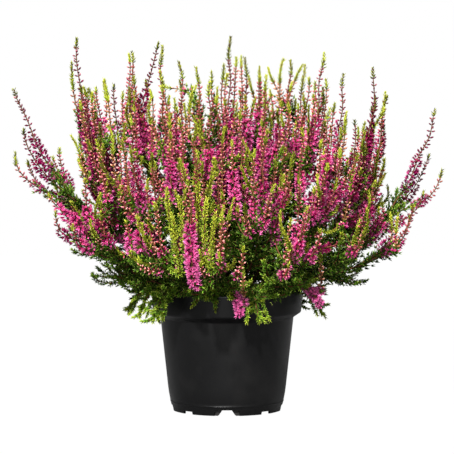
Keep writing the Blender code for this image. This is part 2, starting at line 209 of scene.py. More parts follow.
def all_sprays():
    """Every stem with its laterals, drawn at random in the order that the part's source draws them."""
    draw = np.random.default_rng(SEED)
    found = []
    for kind, stems in STEMS.items():
        tier = TIERS[kind]
        leafy, droops = tier.colour == "leaf", tier.lean > 90
        for number, stem in enumerate(stems, start=1):
            colour = tier.colour
            if colour == "bloom" and draw.random() < IN_BUD_SHARE:
                colour = "bud"
            wobble = draw.uniform(-WOBBLE, WOBBLE)
            steeper = draw.uniform(-tier.spread, tier.spread)
            path, out, side = main_path(tier, stem, wobble, steeper)
            laterals = []
            for lateral in tier.laterals:
                varied = lateral._replace(aside=lateral.aside * draw.uniform(0.85, 1.1),
                                          drop=lateral.drop + draw.uniform(-6.0, 6.0))
                laterals.append(lateral_path(path, out, side, varied, droops and leafy))
            found.append(Spray(f"{kind}_{number:02d}", kind, colour, leafy, droops, path, out, side,
                               laterals))
    return found


SPRAYS = all_sprays()


# Where the photograph was taken from, and its scale on the upright plane through the pot's axis
EYE_DISTANCE = 3000.0
EYE_HEIGHT = 390.0
AXIS_COLUMN, FLOOR_ROW = 227.5, 410.2
COLUMN_WIDTH, ROW_HEIGHT = 0.867, 0.87

# Sizes and colours


def length_property(name, description, default):
    """A length in metres."""
    return FloatProperty(name=name, description=description, default=default, min=0.0,
                         unit="LENGTH", precision=5)


def colour_property(name, description, default):
    """A linear colour."""
    return FloatVectorProperty(name=name, description=description, default=default, size=3,
                               min=0.0, max=1.0, subtype="COLOR")


class HeatherSizes(bpy.types.PropertyGroup):
    """Sizes of the small parts that every spray repeats."""

    leaf_length: length_property("Leaf length", "Length of a scale leaf", 0.0030)
    leaf_width: length_property("Leaf width", "Width of a scale leaf", 0.0015)
    bud_length: length_property("Bud length", "Length of a closed bud", 0.0044)
    bud_width: length_property("Bud width", "Width of a closed bud", 0.0019)
    floret_length: length_property("Floret length", "Length of an open floret", 0.0041)
    floret_width: length_property("Floret width", "Width of an open floret", 0.0031)
    sprig_length: length_property("Sprig length", "Length of a short leafy side twig", 0.0068)
    bud_spacing: length_property("Bud spacing", "Distance between pairs of buds", 0.0029)
    floret_spacing: length_property("Floret spacing", "Distance between whorls of florets", 0.0021)


class HeatherColours(bpy.types.PropertyGroup):
    """Colours of the plant, from old growth to young."""

    floret_old: colour_property("Old floret", "Florets at the foot of a spike", (0.52, 0.080, 0.25))
    floret_full: colour_property("Full floret", "Florets in full colour", (0.38, 0.0008, 0.112))
    floret_young: colour_property("Young floret", "Florets under the buds", (0.42, 0.003, 0.090))
    bud_ripe: colour_property("Ripe bud", "Buds about to open", (0.27, 0.005, 0.062))
    bud_salmon: colour_property("Salmon bud", "Buds half way up a spike", (0.52, 0.070, 0.095))
    bud_pale: colour_property("Pale bud", "Buds near the tip", (0.50, 0.23, 0.09))
    # Partly the darker green of old growth and partly painted shade on the leaves low on the stems, inside
    # the bush
    leaf_old: colour_property("Old leaf", "Leaves inside the bush", (0.006, 0.026, 0.003))
    leaf_full: colour_property("Full leaf", "Leaves on side shoots", (0.10, 0.25, 0.012))
    leaf_young: colour_property("Young leaf", "Leaves at the tips", (0.44, 0.47, 0.028))
    # Partly the bark's own dark brown and partly painted shade low on the stems, inside the bush
    twig_old_shaded: colour_property("Old wood", "Bark low on the stems", (0.035, 0.016, 0.006))
    twig_full: colour_property("Brown twig", "Twigs below the florets", (0.20, 0.075, 0.030))
    twig_young: colour_property("Young twig", "Twigs between the buds", (0.16, 0.050, 0.024))


class PotLook(bpy.types.PropertyGroup):
    """The container and the peat in it."""

    plastic: colour_property("Plastic", "Colour of the container", (0.0032, 0.0032, 0.0034))
    # Also paints light: the inside of the foot takes this colour all over as painted bounce light
    dust: colour_property("Dust", "Colour of the dust on the container", (0.022, 0.021, 0.020))
    roughness: FloatProperty(name="Roughness", description="Mean roughness of the plastic",
                             default=0.37, min=0.0, max=1.0, subtype="FACTOR")
    peat_dark: colour_property("Dark peat", "Wet peat between the crumbs", (0.012, 0.007, 0.004))
    peat_light: colour_property("Light peat", "Dry crumbs and fibres", (0.085, 0.045, 0.022))


class StageLook(bpy.types.PropertyGroup):
    """The floor, the lights and the camera."""

    floor: colour_property("Floor", "Colour of the floor", (0.14, 0.14, 0.14))
    sweep: FloatProperty(name="Sweep", description="How far the floor shows as a lit white sweep",
                         default=0.95, min=0.0, max=1.0, subtype="FACTOR")
    floor_radius: length_property("Floor radius", "Radius of the round floor", 1.6)
    key: FloatProperty(name="Key", description="Strength of the soft key light", default=6.1, min=0.0)
    fill: FloatProperty(name="Fill", description="Strength of the fill light", default=0.15, min=0.0)
    back: FloatProperty(name="Back", description="Strength of the light from behind", default=3.2,
                        min=0.0)
    sky: FloatProperty(name="Sky", description="Strength of the light from all round", default=0.06,
                       min=0.0)
    camera_distance: length_property("Camera distance", "From the pot's axis to the camera",
                                     EYE_DISTANCE * MM)
    camera_height: length_property("Camera height", "Height of the camera over the floor",
                                   EYE_HEIGHT * MM)
    aim_height: length_property("Aim height", "Height of the point the camera looks at", 0.1595)
    lens: FloatProperty(name="Lens", description="Focal length on a 36 mm sensor", default=274.4,
                        min=1.0, unit="CAMERA")


# Small parts, each a closed shape of a few faces

# Points are across, through and along the part; each face has its cell of the map in inner or outer half
Shape = namedtuple("Shape", "points faces places slot smooth")

LEAF, BUD, FLORET, TWIG = range(4)
SLOT_NAMES = ("heather_leaf", "heather_bud", "heather_floret", "heather_twig")
CELL_MARGIN = 0.08


def small_shape(points, outer, inner, slot, smooth):
    """A small part's points and faces. On the map a face spans half a cell, with its height set by how far
    along the part each of its corners is; outer faces share the left half and inner ones the right."""
    points = np.array(points, float)
    faces = np.array(outer + inner)
    across = np.tile((0.0, 0.5, 0.25), (len(faces), 1))
    across[len(outer):] += 0.5
    along = points[faces, 2] / points[:, 2].max()
    return Shape(points, faces, np.stack((across, along), axis=-1), slot, smooth)


def leaf_shape():
    """A scale leaf: a keel outside, two edges and a point."""
    points = [(0, 0, 0), (-0.5, 0.05, 0.34), (0.5, 0.05, 0.34), (0, -0.42, 0.42), (0, 0, 1)]
    outer = [(0, 3, 1), (0, 2, 3), (1, 3, 4), (3, 2, 4)]
    return small_shape(points, outer, [(0, 1, 2), (1, 4, 2)], LEAF, False)


def needle_shape():
    """The plainest leaf: three edges that meet in a point."""
    points = [(-0.5, 0.2, 0), (0.5, 0.2, 0), (0, -0.4, 0), (0, 0, 1)]
    return small_shape(points, [(0, 2, 3), (2, 1, 3)], [(1, 0, 3), (0, 1, 2)], LEAF, False)


def bud_shape():
    """A closed bud: two rings of three between its foot and its point, the second turned a sixth."""
    points = [(0, 0, 0)]
    for radius, height, turn in ((0.44, 0.26, 0.0), (0.52, 0.64, 0.5)):
        angle = (np.arange(3) + turn) * 2 * math.pi / 3
        points += [(radius * math.cos(a), radius * math.sin(a), height) for a in angle]
    points.append((0, 0, 1))
    faces = []
    for k in range(3):
        low, low_next, high, high_next = 1 + k, 1 + (k + 1) % 3, 4 + k, 4 + (k + 1) % 3
        faces += [(0, low_next, low), (low, low_next, high), (low_next, high_next, high),
                  (high, high_next, 7)]
    return small_shape(points, faces, [], BUD, True)


def floret_shape():
    """An open floret: four lobes with valleys between them, closed inside by a funnel."""
    points = [(0, 0, 0), (0, 0, 0.5)]
    angle = np.arange(4) * math.pi / 2
    points += [(0.52 * math.cos(a), 0.52 * math.sin(a), 1.0) for a in angle]
    points += [(0.34 * math.cos(a + math.pi / 4), 0.34 * math.sin(a + math.pi / 4), 0.58) for a in angle]
    outer, inner = [], []
    for k in range(4):
        lobe, valley, next_lobe = 2 + k, 6 + k, 2 + (k + 1) % 4
        outer += [(0, valley, lobe), (0, next_lobe, valley)]
        inner += [(lobe, valley, 1), (valley, next_lobe, 1)]
    return small_shape(points, outer, inner, FLORET, False)


SHAPES = {"leaf": leaf_shape(), "needle": needle_shape(), "bud": bud_shape(), "floret": floret_shape()}


# A place on a stem that a ring of parts is set out from lies this far from the two that give its heading
HEADING_STEP = 0.8
TUBE_REFERENCE = np.array((0.83, 0.41, 0.37))
MIDDLE_SHADE = 0.5


class Growth:
    """Gathers the twigs and small parts of one spray as whole arrays, for one mesh."""

    def __init__(self, draw, sizes):
        self.draw = draw
        self.sizes = {key: getattr(sizes, key) / MM for key in HeatherSizes.__annotations__}
        self.batches = {}
        self.tubes = []

    def near(self, base, spread, shape, low=-math.inf, high=math.inf):
        """Values drawn round a base with a normal spread, held between two limits."""
        return (base + self.draw.normal(0, spread, shape)).clip(low, high)

    def angles(self, count, parts, step, spread):
        """The angles of parts that share each ring's turn evenly, a step on from the last ring's, with a
        normal spread."""
        even = np.arange(count)[:, None] * step + np.arange(parts)[None] * TURN / parts
        return self.near(even, spread, (count, parts))

    def put(self, kind, origin, along, sideways, length, width, age, tint):
        """Adds small parts: each row of the arrays is one part's place, its two directions, its size in
        millimetres, how young it is and its shade among its like."""
        flat = [np.broadcast_to(np.asarray(v, float).reshape(-1), (len(origin),))
                for v in (length, width, age, tint)]
        self.batches.setdefault(kind, []).append((origin, along, sideways, *flat))

    def put_leaves(self, shape, placed, size, age, tint):
        """Adds leaves by their share of a leaf's length and width."""
        length, width = self.sizes["leaf_length"], self.sizes["leaf_width"]
        self.put(shape, *placed, size * length, size * width, age, tint)

    def twig(self, path, distances, radii, ages, sides):
        """Adds a tube: a ring of a few sides at each distance along the path, closed by a point at the tip
        and one at the foot."""
        self.tubes.append((path, distances, radii, ages, sides))


def ring_frames(path, distances, reference):
    """Places along a path with their heading, and two directions across it: the reference with its part
    along the heading taken off, and the cross product of the two."""
    ahead = at_distance(path, np.minimum(distances + HEADING_STEP, length_of(path)))
    behind = at_distance(path, np.maximum(distances - HEADING_STEP, 0.0))
    heading = unit(ahead - behind)
    across = unit(reference - heading * (heading @ reference)[:, None])
    return at_distance(path, distances), heading, across, np.cross(heading, across)


def whorl(centres, heading, across, beside, angle, tilt, radius):
    """Parts round their axes. angle and tilt have a row for each ring and a column for each part of it: a
    part stands radius out at its angle and points tilt away from the heading."""
    outward = np.cos(angle)[..., None] * across[:, None] + np.sin(angle)[..., None] * beside[:, None]
    along = np.cos(tilt)[..., None] * heading[:, None] + np.sin(tilt)[..., None] * outward
    origin = centres[:, None] + outward * np.broadcast_to(radius, angle.shape)[..., None]
    sideways = np.cross(np.broadcast_to(heading[:, None], outward.shape), outward)
    return [values.reshape(-1, 3) for values in (origin, along, sideways)]


def tube_arrays(path, distances, radii, ages, sides):
    """A tube's points, triangles, map places, cells and ages. Point (i, j) is centre i plus radius i times
    the direction at j shares of a turn; the two end points close it."""
    centres, _, across, beside = ring_frames(path, distances, TUBE_REFERENCE)
    rings, column = len(distances), np.arange(sides)
    angle = (TURN * column / sides)[None, :, None]
    outward = np.cos(angle) * across[:, None] + np.sin(angle) * beside[:, None]
    points = (centres[:, None] + outward * radii[:, None, None]).reshape(-1, 3)
    points = np.vstack((points, centres[:1], centres[-1:]))
    after = (column + 1) % sides
    low = sides * np.arange(rings - 1)[:, None]
    high, top, foot = low + sides, (rings - 1) * sides, rings * sides
    wall = np.stack((low + column, low + after, high + after, low + column, high + after, high + column), -1)
    faces = np.vstack((wall.reshape(-1, 3), np.stack((np.full(sides, foot), after, column), -1),
                       np.stack((top + column, top + after, np.full(sides, foot + 1)), -1)))
    left, middle, right = (column + np.array([[0.0], [0.5], [1.0]])) / sides
    zero, one = np.zeros(sides), np.ones(sides)
    wall_places, foot_places, tip_places = (np.stack(values, -1).reshape(-1, 3, 2) for values in (
        (left, zero, right, zero, right, one, left, zero, right, one, left, one),
        (middle, one, right, zero, left, zero), (left, zero, right, zero, middle, one)))
    places = np.vstack((np.tile(wall_places, (rings - 1, 1, 1)), foot_places, tip_places))
    cells = np.repeat(np.arange(rings + 1), [2 * sides] * (rings - 1) + [sides] * 2)
    return points, faces, places, cells, np.concatenate((np.repeat(ages, sides), ages[:1], ages[-1:]))


def merged_arrays(growth):
    """All of a growth's points, faces and values in single arrays, and the number of map cells: one for each
    small part and for each step of a twig."""
    rows, first, cell = [], 0, 0
    for kind, batches in growth.batches.items():
        shape = SHAPES[kind]
        origin, ahead, sideways, length, width, ages, tints = map(np.concatenate, zip(*batches))
        across, through, along = shape.points.T
        points = origin[:, None] + (length[:, None] * along)[..., None] * ahead[:, None]
        points = points + (width[:, None] * across)[..., None] * sideways[:, None]
        points = points + (width[:, None] * through)[..., None] * np.cross(ahead, sideways)[:, None]
        count, corners, triangles = len(origin), len(along), len(shape.faces)
        faces = shape.faces + (first + corners * np.arange(count))[:, None, None]
        rows.append((points.reshape(-1, 3), faces.reshape(-1, 3), np.tile(shape.places, (count, 1, 1)),
                     np.repeat(cell + np.arange(count), triangles),
                     np.full(count * triangles, shape.slot), np.full(count * triangles, shape.smooth),
                     np.tile(along, count), np.repeat(ages, corners), np.repeat(tints, corners)))
        first += count * corners
        cell += count
    for tube in growth.tubes:
        points, faces, places, cells, ages = tube_arrays(*tube)
        middle = np.full(len(points), MIDDLE_SHADE)
        rows.append((points, faces + first, places, cells + cell, np.full(len(faces), TWIG),
                     np.full(len(faces), True), middle, ages, middle))
        first += len(points)
        cell += cells.max() + 1
    return [np.concatenate(values) for values in zip(*rows)], cell


def new_object(name, data):
    """An object for a mesh, a light or a camera, in the scene."""
    obj = bpy.data.objects.new(name, data)
    bpy.context.scene.collection.objects.link(obj)
    return obj


def mesh_from(growth, name, materials):
    """One mesh of triangles. Every small part and every step of a twig has a cell of its own on the map, in
    a square grid of cells, so that a part's colour never runs into its neighbour's."""
    (points, faces, places, cells, slots, smooth, along, age, tint), count = merged_arrays(growth)
    mesh = bpy.data.meshes.new(name)
    mesh.vertices.add(len(points))
    mesh.vertices.foreach_set("co", (points * MM).astype(np.float32).ravel())
    mesh.loops.add(faces.size)
    mesh.loops.foreach_set("vertex_index", faces.astype(np.int32).ravel())
    worn = np.unique(slots)
    for slot in worn:
        mesh.materials.append(materials[slot])
    mesh.polygons.add(len(faces))
    for key, values in (("loop_start", np.arange(0, faces.size, 3, dtype=np.int32)),
                        ("material_index", np.searchsorted(worn, slots).astype(np.int32)),
                        ("use_smooth", smooth.astype(bool))):
        mesh.polygons.foreach_set(key, values)
    side = math.ceil(math.sqrt(count))
    corner = np.stack((cells % side, cells // side), -1)[:, None]
    inside = CELL_MARGIN + (1 - 2 * CELL_MARGIN) * places
    layer = mesh.uv_layers.new(name="OFBake")
    layer.uv.foreach_set("vector", ((corner + inside) / side).astype(np.float32).ravel())
    for label, values in (("along", along), ("age", age), ("tint", tint)):
        attribute = mesh.attributes.new(label, "FLOAT", "POINT")
        attribute.data.foreach_set("value", values.astype(np.float32))
    mesh.update()
    return new_object(name, mesh)


# How shoots are clothed. In each of these functions share runs from 0 at the near end of the stretch, which
# is the end towards the tip, to 1 at its far end, and drives how sizes, tilts and ages change along it.

# What one flower spike shows: the shares of its tip, buds and florets, how ripe its buds are, how full its
# florets stand, the shade of the whole spike among the others and how far its florets have faded
Habit = namedtuple("Habit", "tip bud bloom ripe full shade old", defaults=(0.0,))

# The limits that a habit's first five values are drawn between
HABIT_LIMITS = {
    "in bud": ((0.14, 0.24), (0.38, 0.50), (0.16, 0.36), (0.30, 0.75), (0.66, 0.88)),
    "in bloom": ((0.10, 0.19), (0.30, 0.46), (0.34, 0.48), (0.65, 1.35), (0.88, 1.08)),
    "slender": ((0.10, 0.19), (0.30, 0.46), (0.34, 0.48), (0.65, 1.35), (0.80, 0.95)),
}
TIP_SPACING, TIP_PARTS, TIP_RADIUS = 1.3, 3, 0.25
BUD_SHIFT, BUD_RADIUS = 0.6, 0.45
BRACT_LENGTH, BRACT_WIDTH, BRACT_RADIUS = 1.5, 0.8, 0.3
WHORL_PARTS = 6
SPRIG_BEND, SPRIG_NORM, SPRIG_RINGS, SPRIG_RADIUS = 0.55, 5.5, 2, 0.2
AXIS_WIDTH, AXIS_SHADE = 0.9, 0.35
PLUME_SPACING, PLUME_RADIUS = 2.6, 0.3


def clothe_tip(growth, path, far, reference, shade, shape="needle", young=1.0):
    """Scale leaves pressed to the young tip of a shoot, three to a ring, each ring turned a sixth."""
    distances = np.arange(0.6, far, TIP_SPACING)
    if not len(distances):
        return
    frames = ring_frames(path, length_of(path) - distances, reference)
    share = (distances / max(far, 1.0))[:, None]
    grid = (len(distances), TIP_PARTS)
    angle = growth.angles(*grid, TURN / 6, 0.15)
    tilt = growth.near(growth.draw.uniform(0.36, 0.62) + 0.36 * share, 0.18, grid)
    size = growth.near(0.84 + 0.40 * share, 0.12, grid, 0.5, 1.5)
    age = growth.near(young - 0.22 * share, 0.07, grid, 0, 1)
    tint = growth.near(shade, 0.24, grid, 0, 1)
    growth.put_leaves(shape, whorl(*frames, angle, tilt, TIP_RADIUS), size, age, tint)


def clothe_buds(growth, path, near, far, reference, habit):
    """Pairs of buds, each pair crossed to the last, that lean out more and grow ripe down the spike, with a
    small leaf beside each."""
    spacing = growth.sizes["bud_spacing"]
    distances = np.arange(near + 0.4 * spacing, far, spacing)
    if not len(distances):
        return
    grid = (len(distances), 2)
    distances = distances + growth.draw.uniform(-BUD_SHIFT, BUD_SHIFT, len(distances))
    frames = ring_frames(path, length_of(path) - distances, reference)
    share = ((distances - near) / (far - near))[:, None]
    angle = growth.angles(*grid, TURN / 4 + 0.09, 0.30)
    tilt = growth.near(0.75 + 0.50 * share, 0.20, grid)
    size = growth.near(0.70 + 0.32 * share, 0.07, grid, 0.5, 1.2)
    ripe = growth.near(habit.ripe * (0.60 + 0.60 * share), 0.09, grid, 0, 1)
    tint = growth.near(habit.shade, 0.20, grid, 0, 1)
    growth.put("bud", *whorl(*frames, angle, tilt, BUD_RADIUS), size * growth.sizes["bud_length"],
               size * growth.sizes["bud_width"], 1 - ripe, tint)
    growth.put("needle", *whorl(*frames, angle + 0.5, tilt * 0.7, BRACT_RADIUS), BRACT_LENGTH, BRACT_WIDTH,
               0.8 - 0.3 * ripe, tint)


def clothe_bloom(growth, path, near, far, reference, habit):
    """Whorls of florets that stand out all round, each turned by the golden angle, fullest in the middle:
    fullness is the sine of between a quarter and four fifths of half a turn."""
    draw, spacing = growth.draw, growth.sizes["floret_spacing"]
    distances = np.arange(near + 0.3 * spacing, far, spacing)
    if not len(distances):
        return
    grid = (len(distances), WHORL_PARTS)
    centres, heading, across, beside = ring_frames(path, length_of(path) - distances, reference)
    share = ((distances - near) / (far - near))[:, None]
    fullness = np.sin(math.pi * (0.24 + 0.56 * share)) * habit.full
    angle = growth.angles(*grid, GOLDEN_ANGLE, 0.22)
    tilt = growth.near(1.02 + 0.22 * share, 0.22, grid, 0.4, 1.75)
    radius = (0.7 + 1.9 * fullness * draw.uniform(0.25, 1.1, grid)).clip(0.4, 3.2)
    centres = centres[:, None] + heading[:, None] * draw.uniform(-1.0, 1.0, grid)[..., None]
    frames = [np.repeat(values, WHORL_PARTS, axis=0) for values in (heading, across, beside)]
    placed = whorl(centres.reshape(-1, 3), *frames, *(v.reshape(-1, 1) for v in (angle, tilt, radius)))
    size = ((0.62 + 0.40 * fullness) * draw.uniform(0.82, 1.15, grid)).clip(0.45, 1.3)
    opening = draw.uniform(0.62, 1.08, grid)
    age = growth.near((1 - share) * (1 - habit.old), 0.12, grid, 0, 1)
    tint = growth.near(habit.shade, 0.22, grid, 0, 1)
    here = (draw.random(grid) < 0.55 + 0.5 * fullness).ravel()
    values = (size * growth.sizes["floret_length"], size * opening * growth.sizes["floret_width"], age, tint)
    growth.put("floret", *(p[here] for p in placed), *(v.ravel()[here] for v in values))


def clothe_sprigs(growth, origin, outward, heading, length, ages, shade):
    """Short leafy twigs, all at once. A twig's line is its foot plus its length times t along outward plus
    t squared, times the bend, along the heading; needles stand on it in crossed pairs, and one more lies
    along its chord as its axis."""
    count, rings = len(origin), SPRIG_RINGS
    t = ((np.arange(rings) + 0.45) / rings)[None, :, None]
    centres = origin[:, None] + length[:, None, None] * (t * outward[:, None]
                                                         + SPRIG_BEND * t**2 * heading[:, None])
    tangent = unit(outward[:, None] + 2 * SPRIG_BEND * t * heading[:, None])
    reference = growth.draw.normal(0, 1, (count, 1, 3))
    across = unit(reference - tangent * (reference * tangent).sum(-1, keepdims=True))
    frames = [x.reshape(-1, 3) for x in (centres, tangent, across, np.cross(tangent, across))]
    share = np.tile(t.ravel(), count)[:, None]
    angle = np.tile(np.arange(rings) * TURN / 4, count)[:, None] + np.arange(2)[None] * TURN / 2
    grid = angle.shape
    angle = growth.near(angle, 0.2, grid)
    tilt = growth.near(0.62 - 0.32 * share, 0.14, grid, 0.08, 1.2)
    size = growth.near(1.25 - 0.20 * share, 0.12, grid, 0.5, 1.6)
    size = size * np.repeat(length / SPRIG_NORM, rings)[:, None].clip(0.62, 1.15)
    age = growth.near(np.repeat(ages, rings)[:, None] + 0.10 * share, 0.05, grid, 0, 1)
    tint = growth.near(shade, 0.2, grid, 0, 1)
    growth.put_leaves("needle", whorl(*frames, angle, tilt, SPRIG_RADIUS), size, age, tint)
    chord = length[:, None] * (outward + SPRIG_BEND * heading)
    aside = unit(np.cross(unit(chord), reference[:, 0]))
    growth.put("needle", origin, unit(chord), aside, 0.95 * np.linalg.norm(chord, axis=-1), AXIS_WIDTH,
               0.8 * ages, AXIS_SHADE)


def clothe_plume(growth, path, near, far, reference, age_near, age_far, shade, taper, spacing=PLUME_SPACING,
                 scale=1.0):
    """Pairs of short leafy twigs along a stem, each pair crossed to the last, shorter towards the tip."""
    distances = np.arange(near + 1.0, far, spacing)
    if not len(distances):
        return
    grid = (len(distances), 2)
    frames = ring_frames(path, length_of(path) - distances, reference)
    angle = growth.angles(*grid, TURN / 4 + 0.12, 0.40)
    tilt = growth.near(0.85, 0.24, grid)
    origin, along, _ = whorl(*frames, angle, tilt, PLUME_RADIUS)
    grown = 0.30 + 0.70 * np.clip((distances - near) / max(taper, 1.0), 0.0, 1.0)[:, None]
    length = scale * growth.sizes["sprig_length"] * grown * growth.draw.uniform(0.45, 1.3, grid)
    share = ((distances - near) / max(far - near, 1.0))[:, None]
    ages = growth.near(age_near + (age_far - age_near) * share, 0.10, grid)
    heading = np.repeat(frames[1], 2, axis=0)
    clothe_sprigs(growth, origin, along, heading, length.ravel(), ages.ravel(), shade)


def random_reference(draw, path):
    """A direction across the path's chord."""
    chord = unit(path[-1] - path[0])
    vector = draw.normal(0, 1, 3)
    return unit(vector - chord * (vector @ chord))


def crooked(draw, path, amount):
    """The path bent a little from side to side: two sine waves across its chord, a random start and about
    one turn for each 50 mm, that grow with the square of the distance from its foot."""
    along = length_along(path)
    share = along / along[-1]
    aside = random_reference(draw, path)
    turns = along[-1] / 50.0 * draw.uniform(0.7, 1.3, 2)
    waves = np.sin(TURN * (share[:, None] * turns + draw.random(2))) * amount * share[:, None] ** 2
    return path + waves[:, :1] * aside + waves[:, 1:] * np.cross(unit(path[-1] - path[0]), aside)


def stem_twig(growth, path, flower, bare_from, wood, sides, end_gap=0.2):
    """The stem itself: woody below, thin and reddish between the buds, green at its tip."""
    whole, span = length_of(path), max(flower, 30)
    from_tip = np.linspace(0.4, whole - end_gap, max(6, int(whole / 7.5)))
    radii = np.interp(from_tip, (0, 0.16 * span, span, bare_from, bare_from + 25),
                      (0.34, 0.52, 0.68, wood * 0.75, wood))
    ages = np.interp(from_tip, (0, 0.5 * span, span, span + 40), (1.0, 0.95, 0.5, 0.12))
    growth.twig(path, (whole - from_tip)[::-1], radii[::-1], ages[::-1], sides)


def flower_spike(growth, path, flower, habit, bare_from=math.inf, wood=0.8, plume_age=0.35,
                 spacing=PLUME_SPACING):
    """A whole flower spike from its tip down, with its leafy stem below the florets. Only a leader is bare
    at its foot, stands in the peat and has thick wood."""
    reference = random_reference(growth.draw, path)
    whole = length_of(path)
    leader = bare_from < math.inf
    tip = habit.tip * flower
    bud = tip + habit.bud * flower
    bloom = min(bud + habit.bloom * flower, whole - 1)
    clothe_tip(growth, path, tip, reference, habit.shade, "leaf" if leader else "needle")
    clothe_buds(growth, path, tip, bud, reference, habit)
    clothe_bloom(growth, path, bud, bloom, reference, habit)
    clothe_plume(growth, path, bloom - 4, min(whole - 2, bare_from), reference, plume_age, 0.05, 0.5, 1.0,
                 spacing)
    stem_twig(growth, path, flower, min(bare_from, whole), wood, 5 if leader else 4, 0 if leader else 0.2)


def leafy_shoot(growth, path, tip_age, foot_age, shade, bare=3.0, taper=22.0, wood=0.6, scale=1.0):
    """A leafy shoot: a pressed tip, then pairs of short twigs that grow longer down the shoot."""
    reference = random_reference(growth.draw, path)
    whole = length_of(path)
    clothe_tip(growth, path, 6.5, reference, shade, young=min(1.0, tip_age + 0.30))
    clothe_plume(growth, path, 4.0, whole - bare, reference, tip_age, foot_age, shade, taper,
                 1.2 + 1.1 * scale, scale)
    stem_twig(growth, path, 20.0, whole, wood, 3 if wood < 1 else 5)


def young_shoot(growth, path, habit):
    """A slender young shoot: yellow-green leaves for most of its length and a few pale buds below."""
    reference = random_reference(growth.draw, path)
    whole = length_of(path)
    leafy = min(0.55 * whole, 26.0)
    clothe_tip(growth, path, leafy, reference, habit.shade)
    clothe_buds(growth, path, leafy, min(whole, leafy + 24.0), reference, habit)
    clothe_plume(growth, path, leafy + 16.0, whole, reference, 0.55, 0.3, habit.shade, 6.0)
    stem_twig(growth, path, 30.0, whole, 0.5, 3)


def habit_for(draw, kind):
    """Draws one spike's habit. One in bud has a longer tip, paler buds and a shorter bloom."""
    shade = draw.uniform(0.2, 0.8)
    return Habit(*(draw.uniform(*limits) for limits in HABIT_LIMITS[kind]), shade)


# How a side shoot stands: the share of the stem at which one level with the leader's tip leaves, how much
# lower one leaves that ends 110 mm below it, how far its tip turns out and aside, and how crooked it is
Stance = namedtuple("Stance", "start fall outward aside crook")
SPIKE_STANCE = Stance(0.60, 0.20, (-0.1, 0.3), 0.25, 1.5)
YOUNG_STANCE = Stance(0.66, 0.18, (-0.2, 0.4), 0.45, 2.0)


def side_shoots(draw, spray, count, drops, beside, stance):
    """Paths of side shoots between the leader and its laterals. Their tips lie beside the leader's, a little
    in or out and below it by an even share of the drops, and a lower one leaves the stem lower down."""
    for k in range(count):
        share = (k + draw.uniform(0.0, 1.0)) / count
        drop = drops[0] + (drops[1] - drops[0]) * share
        start = stance.start - stance.fall * drop / 110 + draw.uniform(-0.04, 0.04)
        sign = 1 if draw.random() < 0.5 else -1
        offset = spray.side * sign * beside * draw.uniform(0.2, 1.0)
        end = spray.path[-1] + (offset + spray.out * draw.uniform(-16, 8) - UP * drop)
        finish = (UP + spray.out * draw.uniform(*stance.outward)
                  + spray.side * draw.uniform(-stance.aside, stance.aside))
        here, heading = fork(spray.path, start)
        path = forked_path(here, heading, unit(end - here), end, finish, 0.40, 40)
        yield crooked(draw, path, stance.crook)


# Fronds that fill the bush with green: how many, between which shares of the stem they stand, their least
# and greatest length, how young their tips are and the scale of their twigs
Fronds = namedtuple("Fronds", "count low high shortest longest age scale", defaults=(24.0, 44.0, 0.30, 1.0))
FRONDS = {
    "heart_spray": (Fronds(6, 0.10, 0.50, 55.0, 90.0, 0.08, 1.9),),
    "inner_spray": (Fronds(2, 0.12, 0.40, 34.0, 54.0, 0.12, 1.3),),
    "outer_spray": (Fronds(2, 0.12, 0.40, 34.0, 54.0, 0.12, 1.3),),
    "low_spray": (Fronds(3, 0.10, 0.50, 20.0, 34.0, 0.42, 0.8),),
    "far_spray": (Fronds(7, 0.36, 0.62, 16.0, 28.0, 0.06),),
    "reaching_spray": (),
    "sprawling_shoot": (Fronds(3, 0.35, 0.85, scale=0.8),),
    "skirt_shoot": (Fronds(11, 0.34, 0.90, 7.0, 15.0, 0.40, 0.32),
                    Fronds(7, 0.28, 0.60, 16.0, 28.0, 0.34, 0.50),
                    Fronds(6, 0.66, 0.97, 5.0, 9.0, 0.50, 0.28)),
    "drooping_spray": (Fronds(10, 0.30, 0.80, 8.0, 18.0, 0.5, 0.45),),
}
OWN_FRONDS = {"skirt_shoot_02": (Fronds(9, 0.50, 0.92, 12.0, 22.0, 0.40, 0.34),)}


def grow_fronds(growth, spray, fronds):
    """Leafy fronds on the stem, which aim ahead, aside and out and end turned upwards. A frond whose tip is
    higher above 100 mm is younger."""
    draw = growth.draw
    for _ in range(fronds.count):
        here, heading = fork(spray.path, draw.uniform(fronds.low, fronds.high))
        sign = 1 if draw.random() < 0.5 else -1
        aim = unit(heading * 0.7 + spray.side * sign * draw.uniform(0.3, 1.1)
                   + spray.out * draw.uniform(-0.2, 0.5) + UP * draw.uniform(-0.25, 0.5))
        reach = draw.uniform(fronds.shortest, fronds.longest)
        end = here + aim * reach
        first, last = here + heading * reach * 0.3, end - reach * 0.35 * unit(aim + UP * 0.7)
        path = bezier((here, first, last, end), 30)
        tone = np.clip((end[2] - 100) / 160, 0, 1)
        leafy_shoot(growth, path, fronds.age + 0.25 * tone, 0.08, draw.uniform(0.2, 0.8), scale=fronds.scale)


# What stands round each leader: how many flower spikes, young shoots and fronds, how far below the leader's
# tip the first two end, how far beside it, how long the leader flowers and how far up the fronds stand
Company = namedtuple("Company", "spikes shoots fronds spike_drops shoot_drops beside flower green_to",
                     defaults=(LEADER_LENGTH, 0.62))
GREEN_FROM = 0.14
COMPANY = {
    "heart_spray": Company(4, 3, 5, (16, 110), (20, 100), 22),
    "inner_spray": Company(4, 3, 4, (14, 116), (16, 100), 24),
    "outer_spray": Company(5, 4, 4, (22, 118), (20, 116), 30, 98.0, 0.56),
    "outer_spray_05": Company(4, 3, 7, (16, 66), (16, 60), 30, 84.0, 0.56),
    "low_spray": Company(1, 3, 7, (2, 20), (4, 44), 26, 50.0, 0.56),
    "far_spray": Company(1, 0, 6, (44, 60), (40, 60), 8, 78.0, 0.66),
    "reaching_spray": Company(1, 0, 6, (6, 20), (8, 30), 8, 56.0, 0.66),
}

